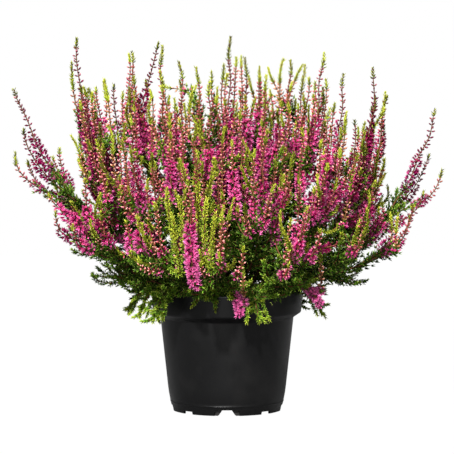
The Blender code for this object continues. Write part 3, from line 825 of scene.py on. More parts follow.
LOOKS = {
    "green": Habit(0.42, 0.50, 0.08, 0.16, 0.7, 0.85),
    "leafy": Habit(1.0, 0.0, 0.0, 0.0, 0.0, 0.85),
    "salmon": Habit(0.16, 0.72, 0.12, 0.50, 0.8, 0.80),
    "rosy": Habit(0.12, 0.52, 0.36, 0.75, 0.9, 0.75),
    "pink": Habit(0.10, 0.30, 0.60, 0.60, 1.05, 0.70, 0.3),
    "head": Habit(0.06, 0.34, 0.60, 0.40, 1.20, 0.70, 0.50),
    "dark": Habit(0.09, 0.48, 0.43, 1.35, 0.9, 0.15),
    "drooping": Habit(0.26, 0.50, 0.24, 0.10, 0.75, 0.62, 0.85),
}

# Sprays whose habit is their own
OWN_LOOKS = {
    "reaching_spray_01": Habit(0.08, 0.16, 0.76, 0.90, 1.05, 0.75, 0.3),
    "reaching_spray_02": Habit(0.10, 0.52, 0.38, 1.10, 1.05, 0.35, 0.4),
    **dict.fromkeys(("far_spray_01", "far_spray_02", "outer_spray_01", "outer_spray_02", "outer_spray_07"),
                    LOOKS["dark"]),
    "low_spray_02": LOOKS["salmon"], "low_spray_03": LOOKS["salmon"], "low_spray_04": LOOKS["rosy"],
}


# Single shoots that show at the front of the bush: the photograph's column and row at each one's tip and
# foot, how far behind the upright plane through the pot's axis it stands, how long its flowering part is,
# and what it shows
Accent = namedtuple("Accent", "tip foot depth flower look")
ACCENTS = tuple(Accent(*row) for row in (
    ((182, 158), (190, 215), -82, 50, "leafy"), ((196, 150), (197, 220), -78, 60, "leafy"),
    ((204, 162), (203, 240), -88, 70, "salmon"), ((189, 180), (193, 278), -132, 92, "head"),
    ((213, 158), (208, 225), -80, 55, "leafy"), ((222, 190), (215, 260), -96, 60, "salmon"),
    ((232, 198), (226, 255), -92, 50, "green"), ((148, 179), (151, 250), -88, 66, "salmon"),
    ((171, 214), (180, 268), -128, 40, "leafy"), ((224, 128), (221, 235), -66, 90, "salmon"),
    ((241, 110), (243, 200), -52, 80, "rosy"), ((283, 115), (287, 205), -52, 76, "salmon"),
    ((290, 219), (287, 265), -104, 44, "salmon"), ((159, 43), (141, 112), 16, 84, "dark"),
    ((130, 54), (128, 120), 30, 70, "rosy"), ((105, 79), (112, 130), -20, 46, "green"),
    ((97, 88), (103, 135), 20, 44, "rosy"), ((91, 93), (98, 150), -30, 60, "salmon"),
    ((114, 84), (118, 140), 34, 60, "dark"), ((137, 91), (128, 130), 12, 40, "green"),
    ((80, 102), (92, 165), -44, 60, "salmon"), ((73, 135), (88, 180), -52, 44, "green"),
    ((160, 87), (176, 88), 24, 26, "green"), ((170, 96), (172, 150), -30, 50, "salmon"),
    ((192, 87), (190, 140), -10, 48, "green"), ((200, 100), (199, 150), 4, 44, "rosy"),
    ((236, 57), (234, 120), 20, 60, "salmon"), ((242, 57), (243, 125), -14, 62, "salmon"),
    ((250, 76), (258, 110), 22, 40, "green"), ((260, 77), (259, 130), -8, 48, "rosy"),
    ((269, 67), (279, 95), 18, 34, "green"), ((283, 59), (279, 110), 12, 52, "green"),
    ((304, 64), (291, 92), 20, 40, "green"), ((265, 88), (266, 135), -22, 44, "green"),
    ((310, 78), (304, 135), 26, 56, "rosy"), ((317, 82), (311, 140), -14, 56, "salmon"),
    ((327, 80), (322, 140), 22, 56, "salmon"), ((348, 112), (342, 160), -30, 46, "green"),
    ((357, 120), (353, 175), 14, 54, "dark"), ((364, 122), (360, 180), -36, 56, "salmon"),
    ((386, 96), (380, 150), 30, 60, "dark"), ((303, 128), (300, 195), -60, 62, "rosy"),
    ((262, 120), (262, 190), -58, 66, "pink"), ((340, 128), (334, 200), -64, 66, "salmon"),
    ((322, 140), (318, 215), -76, 70, "rosy"), ((356, 165), (344, 225), -66, 56, "green"),
    ((110, 128), (118, 190), -70, 56, "green"), ((124, 140), (130, 205), -76, 60, "salmon"),
    ((97, 140), (108, 200), -66, 56, "salmon"), ((136, 150), (142, 215), -82, 60, "rosy"),
    ((170, 132), (172, 200), -64, 64, "pink"), ((182, 118), (184, 180), -56, 60, "rosy"),
    ((232, 140), (236, 215), -74, 70, "pink"), ((253, 150), (255, 225), -82, 70, "rosy"),
    ((274, 160), (276, 240), -88, 74, "pink"), ((300, 176), (298, 250), -92, 66, "rosy"),
    ((393, 214), (391, 252), -38, 34, "green"), ((399, 218), (397, 250), -44, 30, "green"),
    ((272, 90), (275, 150), 6, 56, "rosy"), ((280, 102), (282, 150), -20, 50, "pink"),
    ((291, 82), (288, 150), 14, 60, "salmon"), ((298, 104), (295, 155), -10, 50, "rosy"),
    ((122, 92), (125, 140), 10, 50, "salmon"), ((134, 108), (137, 150), -16, 46, "rosy"),
    ((144, 114), (148, 158), 8, 46, "pink"), ((152, 90), (153, 150), -8, 60, "salmon"),
    ((176, 108), (178, 160), -14, 52, "pink"), ((218, 96), (220, 150), -4, 60, "rosy"),
    ((227, 100), (229, 155), -22, 54, "pink"), ((247, 96), (247, 150), -24, 54, "pink"),
    ((335, 104), (330, 160), 0, 60, "rosy"), ((84, 116), (96, 165), -26, 52, "salmon"),
    ((180, 196), (184, 255), -126, 50, "leafy"), ((216, 214), (210, 268), -126, 44, "leafy"),
    ((207, 198), (204, 258), -122, 50, "leafy"), ((166, 188), (174, 244), -112, 50, "leafy"),
    ((224, 206), (219, 262), -120, 46, "green"), ((198, 176), (199, 236), -112, 56, "leafy"),
    ((119, 136), (124, 205), -34, 60, "rosy"), ((127, 150), (131, 212), -52, 56, "dark"),
    ((341, 150), (338, 215), -40, 60, "rosy"), ((349, 158), (344, 220), -20, 56, "salmon"),
    ((143, 158), (147, 226), -40, 60, "pink"), ((157, 162), (160, 228), -30, 60, "rosy"),
    ((125, 222), (136, 262), -96, 30, "pink"), ((137, 219), (143, 258), -104, 30, "pink"),
))


def seen_place(column, row, depth):
    """The point at a depth that the photograph shows at a column and a row: across and up on the plane
    through the axis, carried along the line of sight."""
    nearer = 1 + depth / EYE_DISTANCE
    up = (FLOOR_ROW - row) * ROW_HEIGHT - EYE_HEIGHT
    return np.array(((column - AXIS_COLUMN) * COLUMN_WIDTH * nearer, depth, EYE_HEIGHT + up * nearer))


# Where a single shoot leaves its stem: between these shares of the stem, tried at even steps, near a place
# so far behind its foot and so far below it. A point less than the clearance below counts as further off.
HOME_FROM, HOME_TO, HOME_STEPS = 0.20, 0.74, 40
HOME_BEHIND, HOME_BELOW = 6.0, 10.0
HOME_CLEARANCE, HOME_PENALTY = 2.0, 40.0


def accent_homes():
    """The single shoots that each spray carries, and where they leave it: of all points between a fifth and
    three quarters of the way up the flowering stems, the one nearest to a place behind and below the shoot's
    foot. A point that isn't lower than the foot counts as further off."""
    homes = {}
    stems = [s for s in SPRAYS if not s.leafy and not s.droops]
    steps = np.linspace(HOME_FROM, HOME_TO, HOME_STEPS)
    points = np.array([at_share(s.path, steps) for s in stems])
    for accent in ACCENTS:
        tip, foot = (seen_place(*place, accent.depth) for place in (accent.tip, accent.foot))
        way = unit(tip - foot)
        gaps = np.linalg.norm(points - (foot - way * HOME_BEHIND - UP * HOME_BELOW), axis=-1)
        gaps = np.where(points[..., 2] < foot[2] - HOME_CLEARANCE, gaps, gaps + HOME_PENALTY)
        which, step = np.unravel_index(np.argmin(gaps), gaps.shape)
        homes.setdefault(stems[which].name, []).append((accent, steps[step], tip, foot, way))
    return homes


HOMES = accent_homes()


def grow_accents(growth, spray):
    """The single shoots that this spray carries: a cubic curve to the shoot's foot, then a straight line to
    its tip, made a little crooked."""
    for accent, share, tip, foot, way in HOMES.get(spray.name, ()):
        here, heading = fork(spray.path, share)
        chord = np.linalg.norm(foot - here)
        first, last = here + chord * 0.35 * heading, foot - chord * 0.45 * way
        below = bezier((here - heading * ROOT_SINK, first, last, foot), 24)
        path = np.vstack((below[:-1], foot + np.linspace(0, 1, 30)[:, None] * (tip - foot)))
        habit = LOOKS[accent.look]
        habit = habit._replace(shade=habit.shade + growth.draw.uniform(-0.15, 0.15))
        flower = min(accent.flower, 0.95 * length_of(path))
        path = crooked(growth.draw, path, 1.5)
        if accent.look == "leafy":
            leafy_shoot(growth, path, 0.96, 0.50, habit.shade, taper=10.0, scale=0.50)
            continue
        flower_spike(growth, path, flower, habit, plume_age=0.55)
        if accent.look == "head":
            clothe_bloom(growth, path, 0.55 * flower, flower, growth.draw.normal(0, 1, 3), habit)


# The flowering part of a lateral and of a spike beside the leader: its share of the leader's, and the most
# of its own length that it takes up
LATERAL_FLOWER, LATERAL_MOST = 0.7, 0.9
SPIKE_FLOWER, SPIKE_MOST = 0.68, 0.85
LEADER_CROOK, LATERAL_CROOK = 1.5, 1.2
LEADER_WOOD = 1.9
ODD_BUD_SHARE = 0.3


def grow_flowering_spray(growth, spray):
    """A leader, its laterals, and the spikes, young shoots, fronds and single shoots round them."""
    draw = growth.draw
    company = COMPANY.get(spray.name, COMPANY[spray.kind])
    own = OWN_LOOKS.get(spray.name)
    in_bud = spray.colour == "bud"

    def drawn(open_kind):
        """A habit in bud for every spike of a spray in bud and for a few of the others."""
        return habit_for(draw, "in bud" if in_bud or draw.random() < ODD_BUD_SHARE else open_kind)

    stem = crooked(draw, spray.path, LEADER_CROOK)
    flower_spike(growth, stem, company.flower, own or habit_for(draw, "in bud" if in_bud else "in bloom"),
                 length_of(spray.path) - BARE_LENGTH, LEADER_WOOD)
    for path in spray.laterals:
        flower = min(LATERAL_FLOWER * company.flower, LATERAL_MOST * length_of(path))
        habit = own or drawn("in bloom")
        flower_spike(growth, crooked(draw, path, LATERAL_CROOK), flower, habit)
    for path in side_shoots(draw, spray, company.spikes, company.spike_drops, company.beside, SPIKE_STANCE):
        flower = min(SPIKE_FLOWER * company.flower, SPIKE_MOST * length_of(path))
        flower_spike(growth, path, flower, drawn("slender"), plume_age=0.45, spacing=3.6)
    for path in side_shoots(draw, spray, company.shoots, company.shoot_drops, company.beside, YOUNG_STANCE):
        young_shoot(growth, path, habit_for(draw, "in bud"))
    for fronds in (Fronds(company.fronds, GREEN_FROM, company.green_to), *FRONDS[spray.kind]):
        grow_fronds(growth, spray, fronds)
    grow_accents(growth, spray)


# How much of its line a shoot that is cut short keeps
OWN_REACH = {"skirt_shoot_03": 0.74}

# How young the tips of the leafy shoots are, and the scale of their twigs
LEAFY_LOOKS = {"skirt_shoot": (0.50, 0.38), "sprawling_shoot": (0.36, 0.7)}


def grow_leafy_spray(growth, spray):
    """A leafy shoot with its two side shoots, and fronds between them."""
    draw = growth.draw
    tip_age, scale = LEAFY_LOOKS[spray.kind]
    kept = np.linspace(0, OWN_REACH.get(spray.name, 1.0), 60)
    spray = spray._replace(path=at_share(spray.path, kept))
    leafy_shoot(growth, spray.path, tip_age, 0.12, draw.uniform(0.3, 0.7), bare=22.0, wood=1.6, scale=scale)
    for path in spray.laterals:
        leafy_shoot(growth, at_share(path, kept), tip_age, 0.25, draw.uniform(0.3, 0.8), scale=scale)
    for fronds in OWN_FRONDS.get(spray.name, ()) + FRONDS[spray.kind]:
        grow_fronds(growth, spray, fronds)


def grow_drooping_spray(growth, spray):
    """A leafy stem that bends over the rim and ends in a thick bloom, from which a thin spike turns up."""
    draw, path, habit = growth.draw, spray.path, LOOKS["drooping"]
    whole = length_of(path)
    reference = random_reference(draw, path)
    for _ in range(2):
        clothe_bloom(growth, path, 0.0, 25.0, random_reference(draw, path), habit)
    clothe_plume(growth, path, 23.0, whole - 22.0, reference, 0.45, 0.1, 0.5, 8.0, 2.0, 0.6)
    stem_twig(growth, path, 20.0, whole, 1.6, 4)
    for lateral in spray.laterals:
        flower_spike(growth, lateral, 0.98 * length_of(lateral), habit)
    for fronds in FRONDS[spray.kind]:
        grow_fronds(growth, spray, fronds)


def grow_group(context, kind):
    """Grows the fine piece that stands for each of the part's sprays or shoots of one kind."""
    plant_materials(context.scene.heather_colours)
    materials = [bpy.data.materials[name] for name in SLOT_NAMES]
    for number, spray in enumerate(SPRAYS):
        if spray.kind != kind:
            continue
        growth = Growth(np.random.default_rng((SEED, number)), context.scene.heather_sizes)
        if spray.leafy:
            grow_leafy_spray(growth, spray)
        elif spray.droops:
            grow_drooping_spray(growth, spray)
        else:
            grow_flowering_spray(growth, spray)
        piece = mesh_from(growth, spray.name + "_heather", materials)
        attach(piece, "root")
        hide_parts(spray.name)
    return {"FINISHED"}


# The container and the peat

# The container's section: radius, height and how far its corner is rounded, from the floor's middle out
# under the foot, up the outside, over the rim and down the inside
FOOT_HEIGHT = 6.0
SECTION = (
    (0.0, 6.0, 0.0), (40.5, 6.0, 0.0), (40.5, 0.0, 0.0), (45.4, 0.0, 0.0), (45.6, 0.0, 0.0),
    (47.5, 0.0, 0.5), (48.4, 4.0, 1.2), (49.15, 7.6, 0.0), (49.6, 8.2, 0.0), (49.4, 8.8, 0.0),
    (50.9, 16.0, 5.0), (58.0, 81.5, 0.6), (64.6, 86.0, 0.9), (65.8, 105.0, 0.6), (64.4, 105.0, 0.5),
    (63.2, 86.8, 0.0), (56.6, 82.2, 0.0), (49.5, 16.4, 0.0), (46.4, 7.4, 0.0), (0.0, 7.4, 0.0),
)
# Between these radii lies the foot of the inner wall, and further out the foot of the outer one
CHEEK_FROM, CHEEK_TO = 40.0, 45.5
# The part of the outer wall that the notches' edges follow: outside this radius and below this height
WALL_FROM, WALL_BELOW = 47.0, 20.0
ARC_STEPS, ARC_LEAD = 3, 0.4
EVEN_STEP, EVEN_GAP = 24.0, 2.0
COLUMNS, EDGE_GAP = 108, 0.06
NOTCH_HALF, NOTCH_HEIGHT, NOTCH_ROUND = 11.0, 5.2, 2.0
NOTCH_ROUND_STEPS = (0.08, 0.3, 0.6, 1.0)
CHEEK_HALF = 12.6
THROAT_TOP_HALF, THROAT_FOOT_HALF, THROAT_HEIGHT = 4.2, 8.2, 4.9
SIDE_NOTCH_HALF, SIDE_NOTCH_HEIGHT = 5.2, 2.5
FOOT_RADIUS = 47.5
DRAIN_RADIUS, DRAIN_RING, DRAIN_SIDES = 4.0, 30.0, 24
DRAIN_REACH = (-2, 3)
SHARP_ANGLE = 42


def rounded_section(corners):
    """The section with each corner replaced by an arc. The arc is a quadratic curve held by the corner,
    between points its rounding away; long straight runs get even points between."""
    points = np.array(corners, float)
    done = [points[0, :2]]
    t = np.linspace(0, 1, ARC_STEPS)[:, None]
    for (*before, _), (*here, size), (*after, _) in zip(points, points[1:], points[2:]):
        before, here, after = (np.array(p) for p in (before, here, after))
        if not size:
            done.append(here)
            continue
        back, ahead = unit(before - here), unit(after - here)
        first, last = here + back * size, here + ahead * size
        arc = (1 - t) ** 2 * first + 2 * (1 - t) * t * here + t**2 * last
        done += [first + back * ARC_LEAD, *arc, last + ahead * ARC_LEAD]
    done.append(points[-1, :2])
    path = np.array(done)
    along = length_along(path)
    even = np.arange(EVEN_STEP, along[-1], EVEN_STEP)
    even = even[np.abs(even[:, None] - along[None]).min(1) > EVEN_GAP]
    return at_distance(path, np.sort(np.concatenate((along, even))))


def notch_lift(beside, side_beside):
    """How far the foot's outer wall is cut away, by the distance from a main notch's middle and from a side
    notch's: up to the notch's height, with a quarter circle in each upper corner."""
    into_round = np.clip(beside - (NOTCH_HALF - NOTCH_ROUND), 0, NOTCH_ROUND)
    arc = np.sqrt(np.clip(NOTCH_ROUND**2 - into_round**2, 0, None))
    lift = np.where(beside < NOTCH_HALF, NOTCH_HEIGHT - NOTCH_ROUND + arc, 0.0)
    return np.maximum(lift, np.where(side_beside < SIDE_NOTCH_HALF, SIDE_NOTCH_HEIGHT, 0.0))


def cheek_lift(beside):
    """Where the inner wall's foot lies: on the table behind a notch, but for a throat in the middle whose
    sides slope, and up at the floor away from the notch."""
    slope = (THROAT_FOOT_HALF - beside) / (THROAT_FOOT_HALF - THROAT_TOP_HALF)
    throat = THROAT_HEIGHT * np.clip(slope, 0.0, 1.0)
    return np.where(beside < CHEEK_HALF, throat, FOOT_HEIGHT)


def pot_columns():
    """The angles of the container's columns: even ones, and close pairs at every edge of the notches."""
    even = np.linspace(0, TURN, COLUMNS, endpoint=False)
    close = [e + d for e in (THROAT_TOP_HALF, THROAT_FOOT_HALF, CHEEK_HALF, NOTCH_HALF)
             for d in (-EDGE_GAP, EDGE_GAP)]
    close += [NOTCH_HALF - NOTCH_ROUND * k for k in NOTCH_ROUND_STEPS]
    side = [sign * SIDE_NOTCH_HALF + d for sign in (-1, 1) for d in (-EDGE_GAP, EDGE_GAP)]
    main, side = np.array(close) / FOOT_RADIUS, math.pi / 4 + np.array(side) / FOOT_RADIUS
    quarters = math.pi / 2 * np.arange(4)[:, None]
    angles = np.concatenate((even, *((quarters + edges).ravel() for edges in (main, -main, side)))) % TURN
    return np.unique(np.round(angles, 5))


def grid_mesh(name, radius, height, angles, material):
    """A closed mesh of a section turned about the upright axis: at angle a a point of radius r and height z
    lies at r cos a, r sin a, z. The first and last rows are single points on the axis."""
    rows, columns = radius.shape
    points = np.stack((radius * np.cos(angles), radius * np.sin(angles), height), -1)
    inner = points[1:-1].reshape(-1, 3)
    points = np.vstack((inner, points[0, :1], points[-1, :1])) * MM
    column = np.arange(columns)
    after = (column + 1) % columns
    low, last = np.arange(rows - 3)[:, None] * columns, (rows - 3) * columns
    quads = np.stack((low + column, low + after, low + after + columns, low + column + columns), -1)
    first_fan = np.stack((after, column, np.full(columns, len(inner))), -1)
    last_fan = np.stack((last + column, last + after, np.full(columns, len(inner) + 1)), -1)
    faces = quads.reshape(-1, 4).tolist() + first_fan.tolist() + last_fan.tolist()
    mesh = bpy.data.meshes.new(name)
    mesh.from_pydata(points.tolist(), [], faces)
    mesh.materials.append(material)
    mesh.shade_smooth()
    return new_object(name, mesh)


def make_pot(material):
    """The container: the section turned round, its foot lifted at the notches, with drains cut through."""
    section = rounded_section(SECTION)
    angles = pot_columns()
    radius, height = (np.repeat(section[:, k:k + 1], len(angles), axis=1) for k in (0, 1))
    beside = np.abs((angles + math.pi / 4) % (math.pi / 2) - math.pi / 4) * FOOT_RADIUS
    side_beside = np.abs(angles % (math.pi / 2) - math.pi / 4) * FOOT_RADIUS
    out, up = section.T
    outside = np.arange(len(section)) < len(section) / 2
    outer = ((out > CHEEK_TO) & (up < FOOT_HEIGHT) & outside)[:, None]
    cheek = ((out > CHEEK_FROM) & (out < CHEEK_TO) & (up < FOOT_HEIGHT))[:, None]
    wall = section[(out > WALL_FROM) & (up < WALL_BELOW) & outside]
    raised = np.maximum(height, notch_lift(beside, side_beside))
    moved = np.where(radius > WALL_FROM, np.interp(raised, wall[:, 1], wall[:, 0]), radius)
    height = np.where(outer, raised, height)
    radius = np.where(outer, moved, radius)
    height = np.where(cheek, np.maximum(height, cheek_lift(beside)), height)
    piece = grid_mesh("black_pot", radius, height, angles, material)
    drill(piece, [(DRAIN_RING * math.cos(a), DRAIN_RING * math.sin(a)) for a in math.pi / 2 * np.arange(4)])
    return piece


def drill(piece, places):
    """Cuts round drains through the container's floor: prisms with corner j at j shares of a turn."""
    points, faces = [], []
    column = np.arange(DRAIN_SIDES)
    after = (column + 1) % DRAIN_SIDES
    for x, y in places:
        first = len(points)
        for z in DRAIN_REACH:
            points += [(x + DRAIN_RADIUS * math.cos(a), y + DRAIN_RADIUS * math.sin(a), FOOT_HEIGHT + z)
                       for a in TURN * column / DRAIN_SIDES]
        sides = np.stack((column, after, after + DRAIN_SIDES, column + DRAIN_SIDES), -1)
        faces += (first + sides).tolist()
        faces += [(first + column[::-1]).tolist(), (first + DRAIN_SIDES + column).tolist()]
    mesh = bpy.data.meshes.new("drill")
    mesh.from_pydata((np.array(points) * MM).tolist(), [], faces)
    cutter = new_object("drill", mesh)
    step = piece.modifiers.new("drains", "BOOLEAN")
    step.operation = "DIFFERENCE"
    step.solver = "EXACT"
    step.object = cutter
    bpy.context.view_layer.objects.active = piece
    bpy.ops.object.modifier_apply(modifier=step.name)
    bpy.data.objects.remove(cutter)
    piece.data.set_sharp_from_angle(angle=math.radians(SHARP_ANGLE))


# Materials


def set_inputs(tree, node, inputs):
    """Sets a node's inputs. An input is a number, a colour, a vector or another node's output."""
    for key, value in inputs.items():
        if isinstance(value, bpy.types.NodeSocket):
            tree.links.new(value, node.inputs[key])
        else:
            node.inputs[key].default_value = value


def new_node(tree, kind, inputs=None, **settings):
    """A node with its settings and inputs."""
    made = tree.nodes.new(kind)
    for key, value in settings.items():
        setattr(made, key, value)
    set_inputs(tree, made, inputs or {})
    return made


def maths(tree, operation, first, second, clamp=False):
    """One step of arithmetic on values."""
    return new_node(tree, "ShaderNodeMath", {0: first, 1: second}, operation=operation,
                    use_clamp=clamp).outputs[0]


def mixed(tree, factor, first, second):
    """A mix of two colours."""
    return new_node(tree, "ShaderNodeMix", {0: factor, 6: first, 7: second}, data_type="RGBA",
                    clamp_factor=True).outputs[2]


def ranged(tree, value, low, high, to_low, to_high):
    """A value carried from one range to another, held at its ends."""
    return new_node(tree, "ShaderNodeMapRange", {0: value, 1: low, 2: high, 3: to_low, 4: to_high},
                    clamp=True).outputs[0]


def noise(tree, place, scale, detail):
    """Cloudy values over the object."""
    return new_node(tree, "ShaderNodeTexNoise",
                    {"Vector": place, "Scale": scale, "Detail": detail}).outputs[0]


def bumped(tree, strength, distance, height):
    """A normal turned by the slope of a height."""
    return new_node(tree, "ShaderNodeBump", {"Strength": strength, "Distance": distance,
                                             "Height": height}).outputs["Normal"]


def object_place(tree):
    """The place on the object."""
    return new_node(tree, "ShaderNodeTexCoord").outputs["Object"]


def new_group(name, inputs, outputs):
    """A shader node group with named sockets, and its input and output nodes."""
    tree = bpy.data.node_groups.new(name, "ShaderNodeTree")
    for label, kind, value in inputs:
        tree.interface.new_socket(name=label, in_out="INPUT", socket_type=kind).default_value = value
    for label, kind in outputs:
        tree.interface.new_socket(name=label, in_out="OUTPUT", socket_type=kind)
    return tree, tree.nodes.new("NodeGroupInput").outputs, tree.nodes.new("NodeGroupOutput")


COLOUR, NUMBER = "NodeSocketColor", "NodeSocketFloat"
BLACK, WHITE = (0, 0, 0, 1), (1, 1, 1, 1)
# Nearly all of a noise's values lie between these two
CLOUDS = (0.3, 0.7)


def growth_group():
    """Colour of grown parts: three colours from old to young by the age attribute, then a lighter point,
    partly the parts' own paler tips and partly painted highlight, that shows more on parts of a lighter
    shade.
    Painted shade makes the whole darker at a part's foot, and the whole is lighter or darker by the part's
    own shade and by a slow mottle over the bush."""
    found = bpy.data.node_groups.get("grown_colour")
    if found:
        return found
    tree, given, result = new_group(
        "grown_colour",
        (("Old", COLOUR, BLACK), ("Full", COLOUR, BLACK), ("Young", COLOUR, BLACK), ("Point", COLOUR, WHITE),
         ("Point Share", NUMBER, 0.3), ("Foot Shade", NUMBER, 0.6), ("Shade Spread", NUMBER, 0.5),
         ("Mottle", NUMBER, 0.2)),
        (("Color", COLOUR), ("Grain", NUMBER)))
    age, tint, along = (new_node(tree, "ShaderNodeAttribute", attribute_name=name).outputs["Fac"]
                        for name in ("age", "tint", "along"))
    lower = ranged(tree, age, 0.0, 0.5, 0.0, 1.0)
    upper = ranged(tree, age, 0.5, 1.0, 0.0, 1.0)
    base = mixed(tree, upper, mixed(tree, lower, given["Old"], given["Full"]), given["Young"])
    # The lighter point near a part's tip is partly its own paler tip and partly painted highlight, stronger
    # on lighter parts
    pointed = maths(tree, "MULTIPLY", ranged(tree, along, 0.50, 1.0, 0.0, 1.0), given["Point Share"])
    pointed = maths(tree, "MULTIPLY", pointed, ranged(tree, tint, 0.0, 1.0, 0.05, 1.75), clamp=True)
    base = mixed(tree, pointed, base, given["Point"])
    shade = maths(tree, "MULTIPLY", maths(tree, "SUBTRACT", tint, 0.5), given["Shade Spread"])
    place = object_place(tree)
    cloud = noise(tree, place, 38.0, 2.0)
    slow = maths(tree, "MULTIPLY", maths(tree, "SUBTRACT", cloud, 0.5), given["Mottle"])
    light = maths(tree, "ADD", maths(tree, "ADD", 1.0, shade), slow)
    # Painted shade: each part is darkened towards its foot, where it meets its stem, down to the foot shade
    depth = ranged(tree, along, 0.0, 0.55, given["Foot Shade"], 1.0)
    light = maths(tree, "MULTIPLY", light, depth)
    lit = new_node(tree, "ShaderNodeVectorMath", {0: base, "Scale": light}, operation="SCALE")
    set_inputs(tree, result, {"Color": lit.outputs[0], "Grain": noise(tree, place, 900.0, 3.0)})
    return tree


# Each grown material: its three colours' names, the point's colour and share, and its other values
Finish = namedtuple("Finish", "colours point share foot spread mottle rough_low rough_high bump gloss")
# A finish's point is partly the parts' own paler tips and partly painted highlight; foot is how dark the
# painted shade at a part's foot goes
FINISHES = {
    "heather_leaf": Finish(("leaf_old", "leaf_full", "leaf_young"), (0.66, 0.68, 0.16), 0.46, 0.16, 1.50,
                           0.7, 0.40, 0.60, 0.0, 0.10),
    "heather_bud": Finish(("bud_ripe", "bud_salmon", "bud_pale"), (0.92, 0.60, 0.52), 0.52, 0.26, 1.10,
                          0.3, 0.42, 0.60, 0.0, 0.08),
    "heather_floret": Finish(("floret_old", "floret_full", "floret_young"), (0.90, 0.30, 0.58), 0.46, 0.20,
                             1.20, 0.9, 0.45, 0.65, 0.0, 0.05),
    "heather_twig": Finish(("twig_old_shaded", "twig_full", "twig_young"), (0.3, 0.2, 0.12), 0.0, 0.8, 0.0,
                           0.7, 0.6, 0.85, 0.35, 0.25),
}


BARK_DEPTH = 0.0004


def principled(name):
    """A new material with its tree and its Principled shader."""
    made = bpy.data.materials.new(name)
    made.use_nodes = True
    return made, made.node_tree, made.node_tree.nodes["Principled BSDF"]


def plant_materials(colours):
    """Makes the four grown materials once."""
    for name, finish in FINISHES.items():
        if bpy.data.materials.get(name):
            continue
        _, tree, shader = principled(name)
        old, full, young = ((*getattr(colours, key), 1.0) for key in finish.colours)
        given = new_node(tree, "ShaderNodeGroup", {
            "Old": old, "Full": full, "Young": young, "Point": (*finish.point, 1.0),
            "Point Share": finish.share, "Foot Shade": finish.foot, "Shade Spread": finish.spread,
            "Mottle": finish.mottle}, node_tree=growth_group()).outputs
        rough = ranged(tree, given["Grain"], *CLOUDS, finish.rough_low, finish.rough_high)
        set_inputs(tree, shader, {"Base Color": given["Color"], "Specular IOR Level": finish.gloss,
                                  "Roughness": rough})
        if finish.bump:
            set_inputs(tree, shader, {"Normal": bumped(tree, finish.bump, BARK_DEPTH, given["Grain"])})


def grain_group():
    """A fine uneven surface: broad cloudy patches, fine grain and a mix of both as height."""
    found = bpy.data.node_groups.get("uneven_surface")
    if found:
        return found
    tree, given, result = new_group("uneven_surface",
                                    (("Patch Scale", NUMBER, 20.0), ("Grain Scale", NUMBER, 400.0)),
                                    (("Patches", NUMBER), ("Grain", NUMBER), ("Height", NUMBER)))
    place = object_place(tree)
    patches = noise(tree, place, given["Patch Scale"], 4.0)
    grain = noise(tree, place, given["Grain Scale"], 3.0)
    height = maths(tree, "ADD", maths(tree, "MULTIPLY", patches, 0.5), grain)
    set_inputs(tree, result, {"Patches": patches, "Grain": grain, "Height": height})
    return tree


def uneven(tree, **scales):
    """The outputs of the uneven surface at scales of its own."""
    inputs = {key.replace("_", " ").title(): value for key, value in scales.items()}
    return new_node(tree, "ShaderNodeGroup", inputs, node_tree=grain_group()).outputs


# Scales of cloudy patches and of fine grain, and depths of the grain in metres
PLASTIC_PATCHES, PLASTIC_GRAIN, PLASTIC_DEPTH = 26.0, 1500.0, 0.0002
PEAT_PATCHES, PEAT_GRAIN, PEAT_DEPTH = 90.0, 700.0, 0.0012
FLOOR_PATCHES = 3.0
# Dust lies where the patches pass the first value, thickens up to the second, and then hides this share
DUST_FROM, DUST_TO, DUST_MOST = 0.52, 0.80, 0.35
PLASTIC_GLOSS = 0.32
# The lit sweep of the floor, and how much darker the floor is where its patches are lightest
SWEEP_GLOW, FLOOR_FADE = 1.05, 0.985


def plastic_material(look):
    """Satin black plastic: a fine moulded grain, faint dust in cloudy patches and a slightly uneven gloss.
    Inside the foot, below its floor, the plastic takes the dust colour all over as painted bounce light."""
    made, tree, shader = principled("pot_plastic")
    given = uneven(tree, patch_scale=PLASTIC_PATCHES, grain_scale=PLASTIC_GRAIN)
    dust_and_painted_bounce = ranged(tree, given["Patches"], DUST_FROM, DUST_TO, 0.0, DUST_MOST)
    # Painted light: inside the foot's radius and below its floor, the foot's inner wall, its sole and the
    # cheeks behind the notches take the dust colour, standing in for light thrown up from the table
    x, y, z = new_node(tree, "ShaderNodeSeparateXYZ", {0: object_place(tree)}).outputs
    across = maths(tree, "ADD", maths(tree, "MULTIPLY", x, x), maths(tree, "MULTIPLY", y, y))
    inside = maths(tree, "LESS_THAN", across, (FOOT_RADIUS * MM) ** 2 * 0.96)
    low = maths(tree, "LESS_THAN", z, FOOT_HEIGHT * MM * 0.99)
    dust_and_painted_bounce = maths(tree, "ADD", dust_and_painted_bounce, maths(tree, "MULTIPLY", inside, low), clamp=True)
    colour = mixed(tree, dust_and_painted_bounce, (*look.plastic, 1.0), (*look.dust, 1.0))
    rough = ranged(tree, given["Patches"], *CLOUDS, look.roughness - 0.05, look.roughness + 0.08)
    set_inputs(tree, shader, {"Base Color": colour, "Roughness": rough, "Specular IOR Level": PLASTIC_GLOSS,
                              "Normal": bumped(tree, 0.12, PLASTIC_DEPTH, given["Grain"])})
    return made


def peat_material(look):
    """Crumbly peat: dark between the crumbs, lighter on dry crumbs and fibres."""
    made, tree, shader = principled("peat_crumb")
    given = uneven(tree, patch_scale=PEAT_PATCHES, grain_scale=PEAT_GRAIN)
    crumbs = ranged(tree, given["Height"], 0.55, 0.95, 0.0, 1.0)
    colour = mixed(tree, crumbs, (*look.peat_dark, 1.0), (*look.peat_light, 1.0))
    rough = ranged(tree, given["Grain"], *CLOUDS, 0.82, 1.0)
    set_inputs(tree, shader, {"Base Color": colour, "Roughness": rough,
                              "Normal": bumped(tree, 0.8, PEAT_DEPTH, given["Height"])})
    return made


